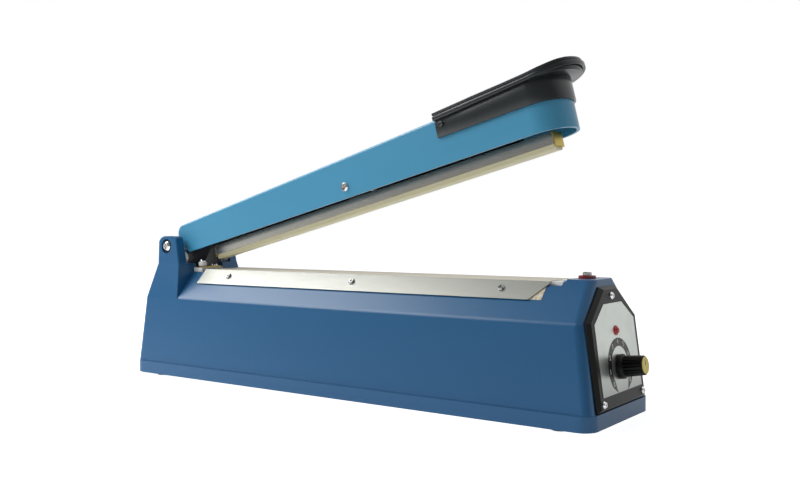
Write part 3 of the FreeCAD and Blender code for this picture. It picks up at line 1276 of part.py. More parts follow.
def push_button():
    """Collar in the raised block, its nut and bracket, the micro-switch and the sprung button."""
    x = value(BUTTON_X)
    block = value(BLOCK_Z)
    roof = value(DECK_Z) - value("housing_wall")
    barrel = value("barrel_diameter") / 2
    flange = value("collar_diameter") / 2
    top = block + value("collar_height")
    crown = value("button_diameter") / 2
    bore = crown + value("loose_gap")
    stem = 1.6
    foot = roof - 6
    seat = block - 5
    profile = [(0, foot), (barrel, foot), (barrel, block), (flange, block), (flange, top - 0.5),
               (flange - 0.5, top), (0, top)]
    collar = turned_solid(profile)
    collar = collar.cut(Part.makeCylinder(bore, top - seat, FreeCAD.Vector(0, 0, seat)))
    collar = collar.cut(Part.makeCylinder(stem + value("loose_gap"), top, FreeCAD.Vector(0, 0, foot - 1)))
    feature_of("button_collar", copies(collar, [spot(x, 0, 0)]))
    crown_low = seat + 4.5
    crown_top = top + value("crown_proud")
    switch_top = foot - 3.4
    button = turned_solid([(0, switch_top + 1.8), (stem, switch_top + 1.8), (stem, crown_low),
                           (crown, crown_low), (crown, crown_top - 0.5), (crown - 0.5, crown_top),
                           (0, crown_top)])
    feature_of("button_crown", copies(button, [spot(x, 0, 0)]))
    wire = value("button_spring_wire")
    coil = wound(2.45, (crown_low - seat - wire) / 3, 0, 3, wire, flats=6)
    feature_of("button_spring", copies(coil, [spot(x, 0, seat + wire / 2)]))
    plate_low = roof - 1
    nut_low = plate_low - 2.5
    feature_of("collar_nut", copies(hexagon(6, 2.5, barrel), [spot(x, 0, nut_low)]))
    long, wide, tall = value("switch_length"), value("switch_width"), value("switch_height")
    low = switch_top - tall
    switch = Part.makeBox(wide, long, tall, FreeCAD.Vector(x - wide / 2, -long / 2, low))
    switch = switch.cut(Part.makeCylinder(1.5, 5, FreeCAD.Vector(x, 0, switch_top - 5)))
    feature_of("micro_switch", [switch])
    plunger = Part.makeCylinder(1.2, 4.6, FreeCAD.Vector(x, 0, switch_top - 2.8))
    feature_of("switch_plunger", [plunger])
    frame = Part.makeBox(wide, long + 2, roof - low, FreeCAD.Vector(x - wide / 2, -long / 2 - 1, low))
    frame = frame.cut(Part.makeBox(wide + 2, long, plate_low - low,
                                   FreeCAD.Vector(x - wide / 2 - 1, -long / 2, low)))
    frame = frame.cut(Part.makeCylinder(barrel, 20, FreeCAD.Vector(x, 0, roof - 10)))
    feature_of("switch_bracket", [frame])


def slab(label, low, thickness, half, rear=BED_REAR_X, front=BED_FRONT_X):
    """A flat strip along the bed."""
    body = new_body(label)
    plan = sketch_on(body, "XY_Plane", low)
    rectangle(plan, rear, front, f"-{half}", half)
    pad(body, plan, thickness)
    return body


def sealing_bed():
    """Aluminium bed, tape, ribbon, cloth and the two bright strips that hold the cloth."""
    bed = new_body("sealing_bed")
    section = sketch_on(bed, "YZ_Plane", BED_REAR_X)
    polygon(section, [(chamfer(DECK_Z), DECK_Z), (chamfer(BED_Z), BED_Z), (f"-{chamfer(BED_Z)}", BED_Z),
                      (f"-{chamfer(DECK_Z)}", DECK_Z)])
    pad(bed, section, "base_length - pin_setback - bed_rear - bed_front")
    slab("insulating_tape", BED_Z, "tape_gauge", "tape_width / 2")
    slab("heating_ribbon", f"{BED_Z} + tape_gauge", "ribbon_gauge", "ribbon_width / 2",
         f"{PIN_X} + terminal_back + terminal_length")
    low = "(foot_height + strip_low)"
    under = f"({CLOTH_TOP} - cloth_gauge)"
    run = f"(1 / sin(atan({CHAMFER_SLOPE})))"
    cloth = new_body("ptfe_cloth")
    drape = sketch_on(cloth, "YZ_Plane", BED_REAR_X)
    right = [(chamfer(low), low), (f"{chamfer(low)} + cloth_gauge * {run}", low),
             (f"{chamfer(CLOTH_TOP)} + cloth_gauge * {run}", CLOTH_TOP)]
    left = [(f"-({across})", up) for across, up in reversed(right)]
    polygon(drape, right + left + [(f"-{chamfer(under)}", under), (chamfer(under), under)])
    pad(cloth, drape, "base_length - pin_setback - bed_rear - bed_front")
    for side in (-1, 1):
        strip_holes(cloth, side)
    for label, side in (("cloth_strip_near", -1), ("cloth_strip_far", 1)):
        sign = "-" if side < 0 else ""
        strip = new_body(label)
        inner = f"cloth_gauge * {run}"
        outer = f"(cloth_gauge + strip_gauge) * {run}"
        profile = sketch_on(strip, "YZ_Plane", f"{BED_REAR_X} - strip_overlap")
        polygon(profile, [(f"{sign}({chamfer(low)} + {inner})", low),
                          (f"{sign}({chamfer(low)} + {outer})", low),
                          (f"{sign}({chamfer(CLOTH_TOP)} + {outer})", CLOTH_TOP),
                          (f"{sign}({chamfer(CLOTH_TOP)} + {inner})", CLOTH_TOP)])
        pad(strip, profile, "base_length - pin_setback - bed_rear - bed_front + strip_overlap * 2")
        corner = sketch_on(strip, "XZ_Plane")
        front = f"({BED_FRONT_X} + strip_overlap)"
        polygon(corner, [(f"{front} - strip_cut", f"{low} - 1"), (f"{front} + 1", f"{low} - 1"),
                         (f"{front} + 1", f"{CLOTH_TOP} - 1"), (front, f"{CLOTH_TOP} - 1")])
        cut(strip, corner, "base_width", both_ways=True)
        strip_holes(strip, side)
    outwards = value("cloth_gauge") + value("strip_gauge")
    head = screw(2.5, 1.7, value("screw_diameter") / 2, 7)
    seats = []
    for side in (-1, 1):
        for place in STRIP_SCREWS:
            seats.append(chamfer_frame(side).multiply(spot(value(place), 0, outwards)))
    feature_of("strip_screws", copies(head, seats))


def strip_holes(body, side):
    holes = sketch_on(body, "XY_Plane", placement=chamfer_frame(side))
    for place in STRIP_SCREWS:
        circle(holes, place, "0", SCREW_HOLE)
    cut(body, holes, "housing_wall", reverse=True)


def terminals():
    """White blocks at the ends of the ribbon."""
    deck = value(DECK_Z)
    rear = value(PIN_X) + value("terminal_back")
    length = value("terminal_length")
    tall = value("terminal_height")
    block = Part.makeBox(length, 24, tall, FreeCAD.Vector(rear, -19, deck))
    post_x, post_y = rear + length - 3.5, -15
    block = block.cut(Part.makeCylinder(1.5, tall, FreeCAD.Vector(post_x, post_y, deck)))
    block = block.cut(Part.makeCylinder(1.5, tall, FreeCAD.Vector(rear + 5, 0, deck)))
    feature_of("rear_terminal", [block])
    plate_z = deck + tall
    plate = Part.makeBox(length - 1, 22, 1, FreeCAD.Vector(rear + 0.5, -18.5, plate_z))
    plate = plate.cut(Part.makeCylinder(1.5, 2, FreeCAD.Vector(post_x, post_y, plate_z)))
    plate = plate.cut(Part.makeCylinder(1.5, 2, FreeCAD.Vector(rear + 5, 0, plate_z)))
    feature_of("terminal_plate", [plate])
    bead = turned_solid([(0, 0), (2.8, 0), (3.5, 1), (3.5, 3), (2.8, 4), (0, 4)])
    bead = bead.cut(Part.makeCylinder(1.5, 4))
    feature_of("terminal_bead", copies(bead, [spot(post_x, post_y, plate_z + 1)]))
    tall_screw = screw(2.5, 1.8, 1.5, 4 + 1 + tall)
    low_screw = screw(2.5, 1.8, 1.5, 1 + tall)
    feature_of("terminal_screws", copies(tall_screw, [spot(post_x, post_y, plate_z + 5)])
               + copies(low_screw, [spot(rear + 5, 0, plate_z + 1)]))
    front = value(BED_FRONT_X)
    size = value("front_terminal_length")
    high = value("front_terminal_height")
    block = Part.makeBox(size, 34, high, FreeCAD.Vector(front, -17, deck))
    screws = [(front + size - 2, away) for away in (-10, 0, 10)]
    for across, away in screws:
        block = block.cut(Part.makeCylinder(0.9, high, FreeCAD.Vector(across, away, deck)))
    feature_of("front_terminal", [block])
    small = screw(1.9, 1.3, 0.9, high, False)
    feature_of("front_terminal_screws", copies(small, [spot(across, away, deck + high)
                                                       for across, away in screws]))


def cord_grommet():
    """Rubber grommet in the rear wall, where the cord goes in."""
    hole = value("grommet_hole") / 2
    bore = value("grommet_bore") / 2
    wall = value("housing_wall") * math.cos(math.radians(value("rear_lean")))
    ring = turned_solid([(0, -wall - 1.6), (hole + 1.5, -wall - 1.6), (hole + 1.5, -wall), (hole, -wall),
                         (hole, 0), (hole + 2.5, 0), (hole + 2, 2), (hole - 0.5, 2.6), (0, 2.6)])
    ring = ring.cut(Part.makeCylinder(bore, wall + 8, FreeCAD.Vector(0, 0, -wall - 4)))
    feature_of("cord_grommet", copies(ring, [rear_frame()]))


def electrics():
    """Transformer and timer board on the bottom plate."""
    floor = value("foot_height") + value("loose_gap") + value("plate_gauge")
    middle = value("core_place")
    lift = 2
    limb, stack, build = value("core_limb"), value("core_stack"), value("coil_build")
    core = Part.makeBox(limb * 6, stack, limb * 5, FreeCAD.Vector(middle - limb * 3, -stack / 2, floor + lift))
    for side in (-1, 1):
        corner = FreeCAD.Vector(middle + side * limb * 1.5 - limb / 2, -stack / 2, floor + lift + limb)
        core = core.cut(Part.makeBox(limb, stack, limb * 3, corner))
    feature_of("transformer_core", [core])
    corner = FreeCAD.Vector(middle - limb * 2, -stack / 2 - build, floor + lift + limb)
    coil = Part.makeBox(limb * 4, stack + build * 2, limb * 3, corner)
    coil = coil.makeFillet(3, [edge for edge in coil.Edges if abs(edge.tangentAt(0).z) > 0.9])
    corner = FreeCAD.Vector(middle - limb, -stack / 2, floor + lift + limb)
    coil = coil.cut(Part.makeBox(limb * 2, stack, limb * 3, corner))
    feature_of("transformer_winding", [coil])
    reach = value("bracket_reach")
    corner = FreeCAD.Vector(middle - reach - 6, -stack / 2, floor)
    strap = Part.makeBox(reach * 2 + 12, stack, lift, corner)
    sides = []
    for side in (-1, 1):
        corner = FreeCAD.Vector(middle + side * (limb * 3 + 0.75) - 0.75, -stack / 2, floor + lift)
        sides.append(Part.makeBox(1.5, stack, 30, corner))
    strap = strap.fuse(sides)
    for side in (-1, 1):
        strap = strap.cut(Part.makeCylinder(1.5, lift, FreeCAD.Vector(middle + side * reach, 0, floor)))
    feature_of("transformer_bracket", [strap.removeSplitter()])
    feature_of("transformer_screws", copies(screw(2.8, 1.8, 1.5, lift + value("plate_gauge"), False), [
        spot(middle + side * reach, 0, floor + lift) for side in (-1, 1)]))
    board = value("board_place")
    long, wide, tall = value("board_length"), value("board_width"), value("post_height")
    posts = []
    for along in (5 - long / 2, long / 2 - 5):
        for side in (5 - wide / 2, wide / 2 - 5):
            posts.append(spot(board + along, side, floor))
    feature_of("board_posts", copies(Part.makeCylinder(2.5, tall), posts))
    corner = FreeCAD.Vector(board - long / 2, -wide / 2, floor + tall)
    feature_of("timer_board", [Part.makeBox(long, wide, value("board_gauge"), corner)])
    top = floor + tall + value("board_gauge")
    pieces = [
        Part.makeBox(19, 15.5, 15.5, FreeCAD.Vector(board - 25, -14, top)),
        Part.makeCylinder(5, 20, FreeCAD.Vector(board + 10, 10, top)),
        Part.makeCylinder(4, 12, FreeCAD.Vector(board + 24, 8, top)),
        Part.makeBox(6.4, 9.8, 3.4, FreeCAD.Vector(board + 8, -8, top)),
        Part.makeBox(10, 20, 10, FreeCAD.Vector(board + 22, -20, top))]
    feature_of("board_components", pieces)


def handle():
    """Wide grip on the arm's nose: a slab with a thick rim over a skirt that fits the cover."""
    plan = helper_body("grip_plan")
    sketch = sketch_on(plan, "XY_Plane", "-arm_lower")
    half = "(arm_half + handle_wall + handle_lip)"
    half_round_end(sketch, "handle_rear", f"arm_nose + handle_overhang - {half}", half)
    pad(plan, sketch, "arm_nose / 4")
    side = helper_body("grip_side")
    profile = sketch_on(side, "XZ_Plane")
    tip = "(arm_nose + handle_overhang)"
    steps = 6
    top = []
    for step in range(steps + 1):
        share = step / steps
        across = f"handle_rear - 1 + ({tip} - handle_rear + 2) * {share}"
        line = f"handle_top_rear + (handle_top_tip - handle_top_rear) * {share}"
        top.append((across, f"{line} - handle_sag * {4 * share * (1 - share)}"))
    under = [(f"{tip} + 1", "handle_top_tip - handle_rim_tip"),
             ("handle_rear - 1", "handle_top_rear - handle_rim_rear")]
    polygon(profile, top + under)
    pad(side, profile, "arm_half * 4", both_ways=True)
    grip = boolean("Common", "grip_slab", plan, side)
    skirt_plan = helper_body("skirt_plan")
    sketch = sketch_on(skirt_plan, "XY_Plane", "handle_low")
    half_round_end(sketch, "handle_rear", "arm_nose - arm_half", "arm_half + handle_wall")
    pad(skirt_plan, sketch, "arm_nose / 4")
    skirt_side = helper_body("skirt_side")
    profile = sketch_on(skirt_side, "XZ_Plane")
    end = "(arm_nose + 5)"
    rise = "handle_top_tip - handle_rim_tip - handle_top_rear + handle_rim_rear"
    slope = f"(({rise}) / ({tip} - handle_rear))"
    polygon(profile, [("handle_rear - 1", "handle_low"), (end, "handle_low"),
                      (end, f"handle_top_rear - handle_rim_rear + 1 + {slope} * ({end} - handle_rear)"),
                      ("handle_rear - 1", "handle_top_rear - handle_rim_rear + 1")])
    pad(skirt_side, profile, "arm_half * 4", both_ways=True)
    skirt = boolean("Common", "grip_skirt", skirt_plan, skirt_side)
    whole = joined("grip_whole", [grip, skirt])
    cover = arm_block("grip_hollow", "0", "-arm_lower")
    shell = boolean("Cut", "grip_shell", whole, cover)
    holes = [upright(place, "arm_top_rear", "arm_top_rear + 11.2", SCREW_HOLE)
             for place in ("handle_screw_rear", "handle_screw_front")]
    item = boolean("Cut", "handle_grip", shell, joined("grip_holes", holes))
    on_arm(item)
    PARTS.append(item)


base_housing()
underside()
front_panel()
push_button()
sealing_bed()
terminals()
hinge()
return_springs()
cord_grommet()
electrics()
arm_cover()
arm_lever()
press_bar()
bar_hanger()
arm_hardware()
handle()
doc.recompute()
for item in PARTS:
    if "Invalid" in item.State or "Error" in item.State:
        raise RuntimeError(f"{item.Label} is {item.State}")
    if item.Shape.isNull() or not item.Shape.isValid():
        raise RuntimeError(f"{item.Label} has no valid shape")
os.makedirs("parts", exist_ok=True)
for item in PARTS:
    moved = item.Shape.copy()
    moved.translate(FreeCAD.Vector(-value("origin_shift"), 0, 0))
    moved.exportStep(f"parts/{item.Label}.step")
print(len(PARTS), "sub-parts")
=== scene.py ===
"""Looks of a hand impulse sealer for the necks of bags: finishes, dial, grip, floor, light and camera."""
import bpy
import json
import math
from mathutils import Matrix, Vector


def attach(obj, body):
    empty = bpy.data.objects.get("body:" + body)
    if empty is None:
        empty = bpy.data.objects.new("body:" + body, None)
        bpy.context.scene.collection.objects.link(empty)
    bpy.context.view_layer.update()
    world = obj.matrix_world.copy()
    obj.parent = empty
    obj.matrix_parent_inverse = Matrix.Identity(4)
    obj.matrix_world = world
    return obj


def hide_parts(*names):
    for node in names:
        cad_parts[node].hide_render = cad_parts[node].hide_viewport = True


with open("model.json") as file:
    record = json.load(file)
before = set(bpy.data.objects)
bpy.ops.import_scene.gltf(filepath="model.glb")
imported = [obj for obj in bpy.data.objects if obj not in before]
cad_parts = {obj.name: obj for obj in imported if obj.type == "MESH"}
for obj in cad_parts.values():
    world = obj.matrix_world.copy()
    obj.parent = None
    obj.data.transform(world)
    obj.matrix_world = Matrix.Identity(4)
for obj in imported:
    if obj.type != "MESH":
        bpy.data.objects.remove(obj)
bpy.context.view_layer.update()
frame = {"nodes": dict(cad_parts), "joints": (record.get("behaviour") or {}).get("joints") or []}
nodes = frame["nodes"]
joints = {joint["name"]: joint for joint in frame["joints"]}
MM = 0.001

# The knob's joint, and the faces of the dial plate and of the knob's cap, measured from it along the shaft
KNOB_PLACE = Vector(joints["knob_turn"]["pos_m"])
KNOB_AXIS = Vector(joints["knob_turn"]["axis"])
PLATE_FACE = -16.7 * MM
CAP_FACE = 0.3 * MM

# The scale printed round the knob: its radii, how far round its ends reach, and where they start to narrow
RING_OUTER = 18.5 * MM
RING_INNER = 13.2 * MM
RING_STEPS = 96
RING_REACH = math.radians(154)
RING_TAPER = math.radians(26)
INK_HEIGHT = 0.06 * MM

# The plain numbers on that scale: how many, the first one's angle from the top in degrees, and their place
NUMBERS = 9
NUMBER_REACH = 128
NUMBER_RADIUS = 15.9 * MM
NUMBER_SIZE = 4.4 * MM
NUMBER_SWELL = 0.06 * MM

# The wedge printed on the knob's cap: a triangle, stretched towards the rim and moved out from the middle
WEDGE_RADIUS = 1.7 * MM
WEDGE_STRETCH = (0.62, 2.4, 1)
WEDGE_OUT = 2.4 * MM

# Sizes of the patterns in the finishes
FLOW_MARK = 111 * MM
SKIN_GRAIN = 0.9 * MM
BRUSH_LINE = 0.25 * MM
WEAR_SPOT = 1.5 * MM
THREAD = 0.5 * MM
SPONGE_SKIN = 1.11 * MM
PLATE_CLOUD = 16.7 * MM
PLATE_GRAIN = 0.25 * MM

# The wave texture's own factor: its bands repeat every 2 pi over this factor and its scale
WAVE_FACTOR = 20

# Light levels: the room on surfaces, the room mirrored from the camera's side, the floor mirrored and seen
ROOM_LIGHT = 0.28
ROOM_MIRRORED = 0.22
FLOOR_MIRRORED = 0.5
FLOOR_SEEN = 0.8

# The fitted camera: its sensor in millimetres, the photograph's width and focal length in pixels, its place
# in metres, and its angles in degrees, downwards, leaning and turned from the back
SENSOR = 36
PICTURE_WIDTH = 800
FOCAL_PIXELS = 921.3
CAMERA_PLACE = (0.4402, -0.557, 0.130)
CAMERA_DOWN = 1.69
CAMERA_LEAN = 0.36
CAMERA_TURN = 36.29

# The arm's pin and rest angle, and the grip's lines along the arm, in millimetres from the pin
ARM_PIN = Vector(joints["arm_hinge"]["pos_m"])
ARM_OPEN = math.radians(13.6)
GRIP_REAR = 287
SKIRT_HALF = 22.6
EDGE_ROUND = 0.35
GRIP_TOP = [(286, 28.2), (320, 29.8), (344, 30.6), (360, 31.3), (366, 31.7), (371, 32.2), (376, 32.9),
            (380, 33.7), (384, 34.6), (388, 35.3), (394, 35.9)]
GRIP_UNDER = [(286, 22.6), (320, 24.0), (343, 25.2), (366, 26.4), (374, 26.9), (382, 28.0), (388, 29.2),
              (394, 30.4)]
COVER_TOP = [(286, 24.3), (394, 27.2)]
SKIRT_LOW = [(286, 10.4), (394, 10.4)]

# The screws in the grip's sides: their heads and sockets, and their place along and above the arm
SCREW_RADIUS = 1.9
SCREW_HEAD = 1.2
SOCKET_RIM = 0.8
SOCKET_DEPTH = 0.6
SCREW_ALONG = 292
SCREW_HEIGHT = 19.5


def rgba(hex_value):
    """sRGB hex to the linear colour that nodes take."""
    channels = [int(hex_value[place:place + 2], 16) / 255 for place in (1, 3, 5)]
    linear = [c / 12.92 if c <= 0.04045 else ((c + 0.055) / 1.055) ** 2.4 for c in channels]
    return (*linear, 1)


def add_node(material, kind, settings=None, links=None, feeds=None):
    """Adds a shader node with its own settings, its inputs' values or sources, and the inputs it feeds."""
    node = material.node_tree.nodes.new("ShaderNode" + kind)
    for name, setting in (settings or {}).items():
        setattr(node, name, setting)
    for socket, source in (links or {}).items():
        if isinstance(source, bpy.types.NodeSocket):
            material.node_tree.links.new(source, node.inputs[socket])
        else:
            node.inputs[socket].default_value = source
    for socket, target in (feeds or {}).items():
        material.node_tree.links.new(node.outputs[socket], target)
    return node


def finish(name, colour, roughness, metallic=0.0, ior=1.5):
    """A material with its shader; the caller adds what varies over the surface."""
    material = bpy.data.materials.new(name)
    material.use_nodes = True
    shader = material.node_tree.nodes["Principled BSDF"]
    shader.inputs["Base Color"].default_value = rgba(colour)
    shader.inputs["Roughness"].default_value = roughness
    shader.inputs["Metallic"].default_value = metallic
    if not metallic:
        shader.inputs["IOR"].default_value = ior
    return material, shader


def place_of(material, stretch=(1, 1, 1)):
    """Object coordinates, stretched where a grain runs one way."""
    coordinates = add_node(material, "TexCoord")
    mapping = add_node(material, "Mapping", links={
        "Vector": coordinates.outputs["Object"], "Scale": stretch})
    return mapping.outputs["Vector"]


def moulded(name, colour, shade, roughness, ior=1.46):
    """Injection-moulded ABS: an even satin gloss with slow flow marks and a fine orange-peel skin."""
    material, shader = finish(name, colour, roughness, ior=ior)
    place = place_of(material)
    flow = add_node(material, "TexNoise", links={"Vector": place, "Scale": 1 / FLOW_MARK, "Detail": 3})
    add_node(material, "Mix", {"data_type": "RGBA"}, {
        "Factor": flow.outputs["Fac"], "A": rgba(colour), "B": rgba(shade)}, {
        "Result": shader.inputs["Base Color"]})
    peel = add_node(material, "TexNoise", links={"Vector": place, "Scale": 1 / SKIN_GRAIN, "Detail": 2})
    add_node(material, "MapRange", links={
        "Value": peel.outputs["Fac"], "To Min": roughness * 0.85, "To Max": roughness * 1.25}, feeds={
        "Result": shader.inputs["Roughness"]})
    add_node(material, "Bump", links={
        "Height": peel.outputs["Fac"], "Strength": 0.12, "Distance": 0.05 * MM}, feeds={
        "Normal": shader.inputs["Normal"]})
    return material


def brushed(name, colour, roughness, along=(0.02, 1, 1)):
    """Rolled or brushed metal: fine lines, along X if not said otherwise, that spread the highlights."""
    material, shader = finish(name, colour, roughness, metallic=1.0)
    place = place_of(material, along)
    lines = add_node(material, "TexNoise", links={"Vector": place, "Scale": 1 / BRUSH_LINE, "Detail": 3})
    add_node(material, "MapRange", links={
        "Value": lines.outputs["Fac"], "To Min": roughness * 0.7, "To Max": roughness * 1.5}, feeds={
        "Result": shader.inputs["Roughness"]})
    add_node(material, "Bump", links={
        "Height": lines.outputs["Fac"], "Strength": 0.1, "Distance": 0.02 * MM}, feeds={
        "Normal": shader.inputs["Normal"]})
    return material


def plain(name, colour, roughness, metallic=0.0, ior=1.5):
    """A smooth finish whose gloss varies a little, as handling leaves it."""
    material, shader = finish(name, colour, roughness, metallic, ior)
    place = place_of(material)
    wear = add_node(material, "TexNoise", links={"Vector": place, "Scale": 1 / WEAR_SPOT, "Detail": 4})
    add_node(material, "MapRange", links={
        "Value": wear.outputs["Fac"], "To Min": roughness * 0.75, "To Max": roughness * 1.3}, feeds={
        "Result": shader.inputs["Roughness"]})
    return material


def coated_cloth(name):
    """Woven glass cloth with a baked release coating: a close weave under a waxy skin."""
    material, shader = finish(name, "#d8cdb4", 0.42, ior=1.38)
    place = place_of(material)
    # Real threads are too fine to show, so the scale leaves out 2 pi and draws them about six times coarser
    bands = 1 / (WAVE_FACTOR * THREAD)
    warp = add_node(material, "TexWave", {"bands_direction": "X"}, {"Vector": place, "Scale": bands})
    weft = add_node(material, "TexWave", {"bands_direction": "Y"}, {"Vector": place, "Scale": bands})
    weave = add_node(material, "Math", {"operation": "MAXIMUM"}, {
        0: warp.outputs["Fac"], 1: weft.outputs["Fac"]})
    add_node(material, "Mix", {"data_type": "RGBA"}, {
        "Factor": weave.outputs["Value"], "A": rgba("#c9bd9f"), "B": rgba("#e6decb")}, {
        "Result": shader.inputs["Base Color"]})
    add_node(material, "Bump", links={
        "Height": weave.outputs["Value"], "Strength": 0.15, "Distance": 0.03 * MM}, feeds={
        "Normal": shader.inputs["Normal"]})
    return material


def silicone(name):
    """Extruded silicone sponge: matt, cream and slightly translucent."""
    material, shader = finish(name, "#f1ebc6", 0.5, ior=1.41)
    shader.inputs["Subsurface Weight"].default_value = 0.25
    shader.inputs["Subsurface Radius"].default_value = (4 * MM, 3 * MM, 1.5 * MM)
    place = place_of(material, (0.05, 1, 1))
    skin = add_node(material, "TexNoise", links={"Vector": place, "Scale": 1 / SPONGE_SKIN, "Detail": 2})
    add_node(material, "Bump", links={
        "Height": skin.outputs["Fac"], "Strength": 0.2, "Distance": 0.05 * MM}, feeds={
        "Normal": shader.inputs["Normal"]})
    return material


def etched_plate(name):
    """Dial plate: anodised aluminium sheet, silver-grey and cloudy, with painted shade that darkens it
    towards its foot.
    """
    material, shader = finish(name, "#c9cec9", 0.3, metallic=0.85)
    place = place_of(material)
    cloud = add_node(material, "TexNoise", links={"Vector": place, "Scale": 1 / PLATE_CLOUD, "Detail": 5})
    clouded = add_node(material, "Mix", {"data_type": "RGBA"}, {
        "Factor": cloud.outputs["Fac"], "A": rgba("#b9bfba"), "B": rgba("#d8ddd8")})
    # Painted shade: from 45 mm down to 14 mm above its foot the plate's colour fades to a dark grey
    height = add_node(material, "SeparateXYZ", links={"Vector": place})
    shade_fade_above_foot = add_node(material, "MapRange", links={
        "Value": height.outputs["Z"], "From Min": 14 * MM, "From Max": 45 * MM})
    add_node(material, "Mix", {"data_type": "RGBA"}, {
        "Factor": shade_fade_above_foot.outputs["Result"], "A": rgba("#858987"), "B": clouded.outputs["Result"]}, {
        "Result": shader.inputs["Base Color"]})
    grain = add_node(material, "TexNoise", links={"Vector": place, "Scale": 1 / PLATE_GRAIN, "Detail": 1})
    add_node(material, "Bump", links={
        "Height": grain.outputs["Fac"], "Strength": 0.1, "Distance": 0.02 * MM}, feeds={
        "Normal": shader.inputs["Normal"]})
    return material


# Blue ABS: deep and satin on the base, lighter on the arm, with a soft white sheen where it faces the sweep
BASE_BLUE = moulded("moulded_abs_base", "#1f6190", "#1c5a88", 0.32)
ARM_BLUE = moulded("moulded_abs_arm", "#4c9dc2", "#4694ba", 0.32)
# Black ABS: nearly without sheen on the panel and knob, glossier on the grip, whose rim catches light lines
PANEL_BLACK = moulded("moulded_abs_black", "#0a0b0b", "#0e0f10", 0.34, ior=1.27)
GRIP_BLACK = moulded("moulded_grip_black", "#1c2225", "#252c2f", 0.24, ior=1.54)
DIAL_PLATE = etched_plate("anodised_dial_plate")
# Red lamp and darker red button collar, both glossy enough for one small highlight
RED_LENS = plain("moulded_red_acrylic", "#c4191b", 0.12)
RED_COLLAR = plain("moulded_red_collar", "#8a1719", 0.2)
# Sheet and turned metals, from the pale cloth strips to the nearly black screws of the grip
STAINLESS = brushed("rolled_stainless_sheet", "#9d9e98", 0.42)
BRIGHT_STEEL = plain("plated_steel", "#cfd0d0", 0.18, 1.0)
TURNED_STEEL = plain("turned_steel", "#a0a2a2", 0.25, 1.0)
BLACKENED_STEEL = plain("blackened_steel", "#5c5e63", 0.25, 1.0)
CHROME = plain("chrome_plate", "#e4e5e6", 0.08, 1.0)
BAR_ALUMINIUM = brushed("extruded_aluminium", "#c3c0b8", 0.22)
BRASS = plain("dull_brass", "#b09a4a", 0.35, 1.0)
BLACK_SHEET = plain("black_painted_sheet", "#121214", 0.4)
# White blocks and beads, matt rubber, cream sponge, woven cloth and the clear yellow of the knob's cap
WHITE_NYLON = plain("moulded_white_nylon", "#f6f6f3", 0.35, ior=1.53)
BLACK_RUBBER = plain("moulded_black_rubber", "#131314", 0.6)
SILICONE = silicone("silicone_sponge")
CLOTH = coated_cloth("coated_glass_cloth")
YELLOW_CAP = plain("moulded_yellow_cap", "#f4dc45", 0.25)
# What is inside the base
BOARD = plain("lacquered_board", "#1f5a34", 0.3)
WINDING = brushed("taped_winding", "#c08a3c", 0.5)
CORE = brushed("laminated_core", "#5a5b60", 0.45, along=(1, 1, 0.02))
# Flat printing inks of the dial
INK_BLACK = plain("screen_ink_black", "#0a0a0b", 0.4)
INK_WHITE = plain("screen_ink_white", "#f6f7f4", 0.5)

FINISHES = {
    BASE_BLUE: ["base_housing"],
    ARM_BLUE: ["arm_cover"],
    PANEL_BLACK: ["front_panel", "timer_knob"],
    GRIP_BLACK: ["handle_grip"],
    DIAL_PLATE: ["panel_label"],
    RED_LENS: ["indicator_lamp"],
    RED_COLLAR: ["button_collar"],
    STAINLESS: ["cloth_strip_near", "cloth_strip_far"],
    TURNED_STEEL: ["strip_screws", "button_crown"],
    CHROME: ["panel_screws", "bar_pivot_screw", "hinge_screws", "terminal_screws", "front_terminal_screws"],
    BRIGHT_STEEL: ["return_springs", "bar_springs", "button_spring", "bar_guide_pins", "bar_pivot_nut",
                   "bottom_plate", "foot_screws", "hinge_pin", "lever_screws", "handle_screws", "timer_nut",
                   "timer_shaft", "timer_potentiometer", "spring_rest_pin", "switch_bracket", "bar_hanger",
                   "transformer_bracket", "transformer_screws"],
    BAR_ALUMINIUM: ["press_bar", "sealing_bed", "heating_ribbon"],
    BRASS: ["bar_end_clips", "terminal_plate"],
    BLACK_SHEET: ["arm_lever", "micro_switch", "board_components"],
    WHITE_NYLON: ["rear_terminal", "front_terminal", "terminal_bead", "hinge_sleeves", "collar_nut",
                  "switch_plunger", "board_posts"],
    BLACK_RUBBER: ["rubber_feet", "hinge_washers", "cord_grommet"],
    SILICONE: ["silicone_strip"],
    CLOTH: ["ptfe_cloth", "insulating_tape"],
    YELLOW_CAP: ["knob_cap"],
    BOARD: ["timer_board"],
    WINDING: ["transformer_winding"],
    CORE: ["transformer_core"],
}
for material, names in FINISHES.items():
    for name in names:
        for held in nodes[name].material_slots:
            held.link = "OBJECT"
            held.material = material


def dial_matrix(out):
    """The dial's own frame, that far out along the shaft: X across, Y up the panel, Z outwards."""
    across = Vector((0, 1, 0))
    up = KNOB_AXIS.cross(across)
    turned = Matrix((across, up, KNOB_AXIS)).transposed().to_4x4()
    return Matrix.Translation(KNOB_PLACE + KNOB_AXIS * out) @ turned


def arm_matrix():
    """The arm's own frame at rest: millimetres from its pin, with X along the arm."""
    return Matrix.Translation(ARM_PIN) @ Matrix.Rotation(-ARM_OPEN, 4, "Y") @ Matrix.Scale(MM, 4)


def alone():
    """Leaves nothing selected, before a new piece is added or one piece is picked."""
    bpy.ops.object.select_all(action="DESELECT")


def pick_faces(piece, wanted):
    """Goes to face mode with only the wanted faces selected."""
    bpy.ops.object.mode_set(mode="EDIT")
    bpy.ops.mesh.select_all(action="DESELECT")
    bpy.ops.object.mode_set(mode="OBJECT")
    for face in piece.data.polygons:
        face.select = wanted(face)
    bpy.ops.object.mode_set(mode="EDIT")
    bpy.ops.mesh.select_mode(type="FACE")


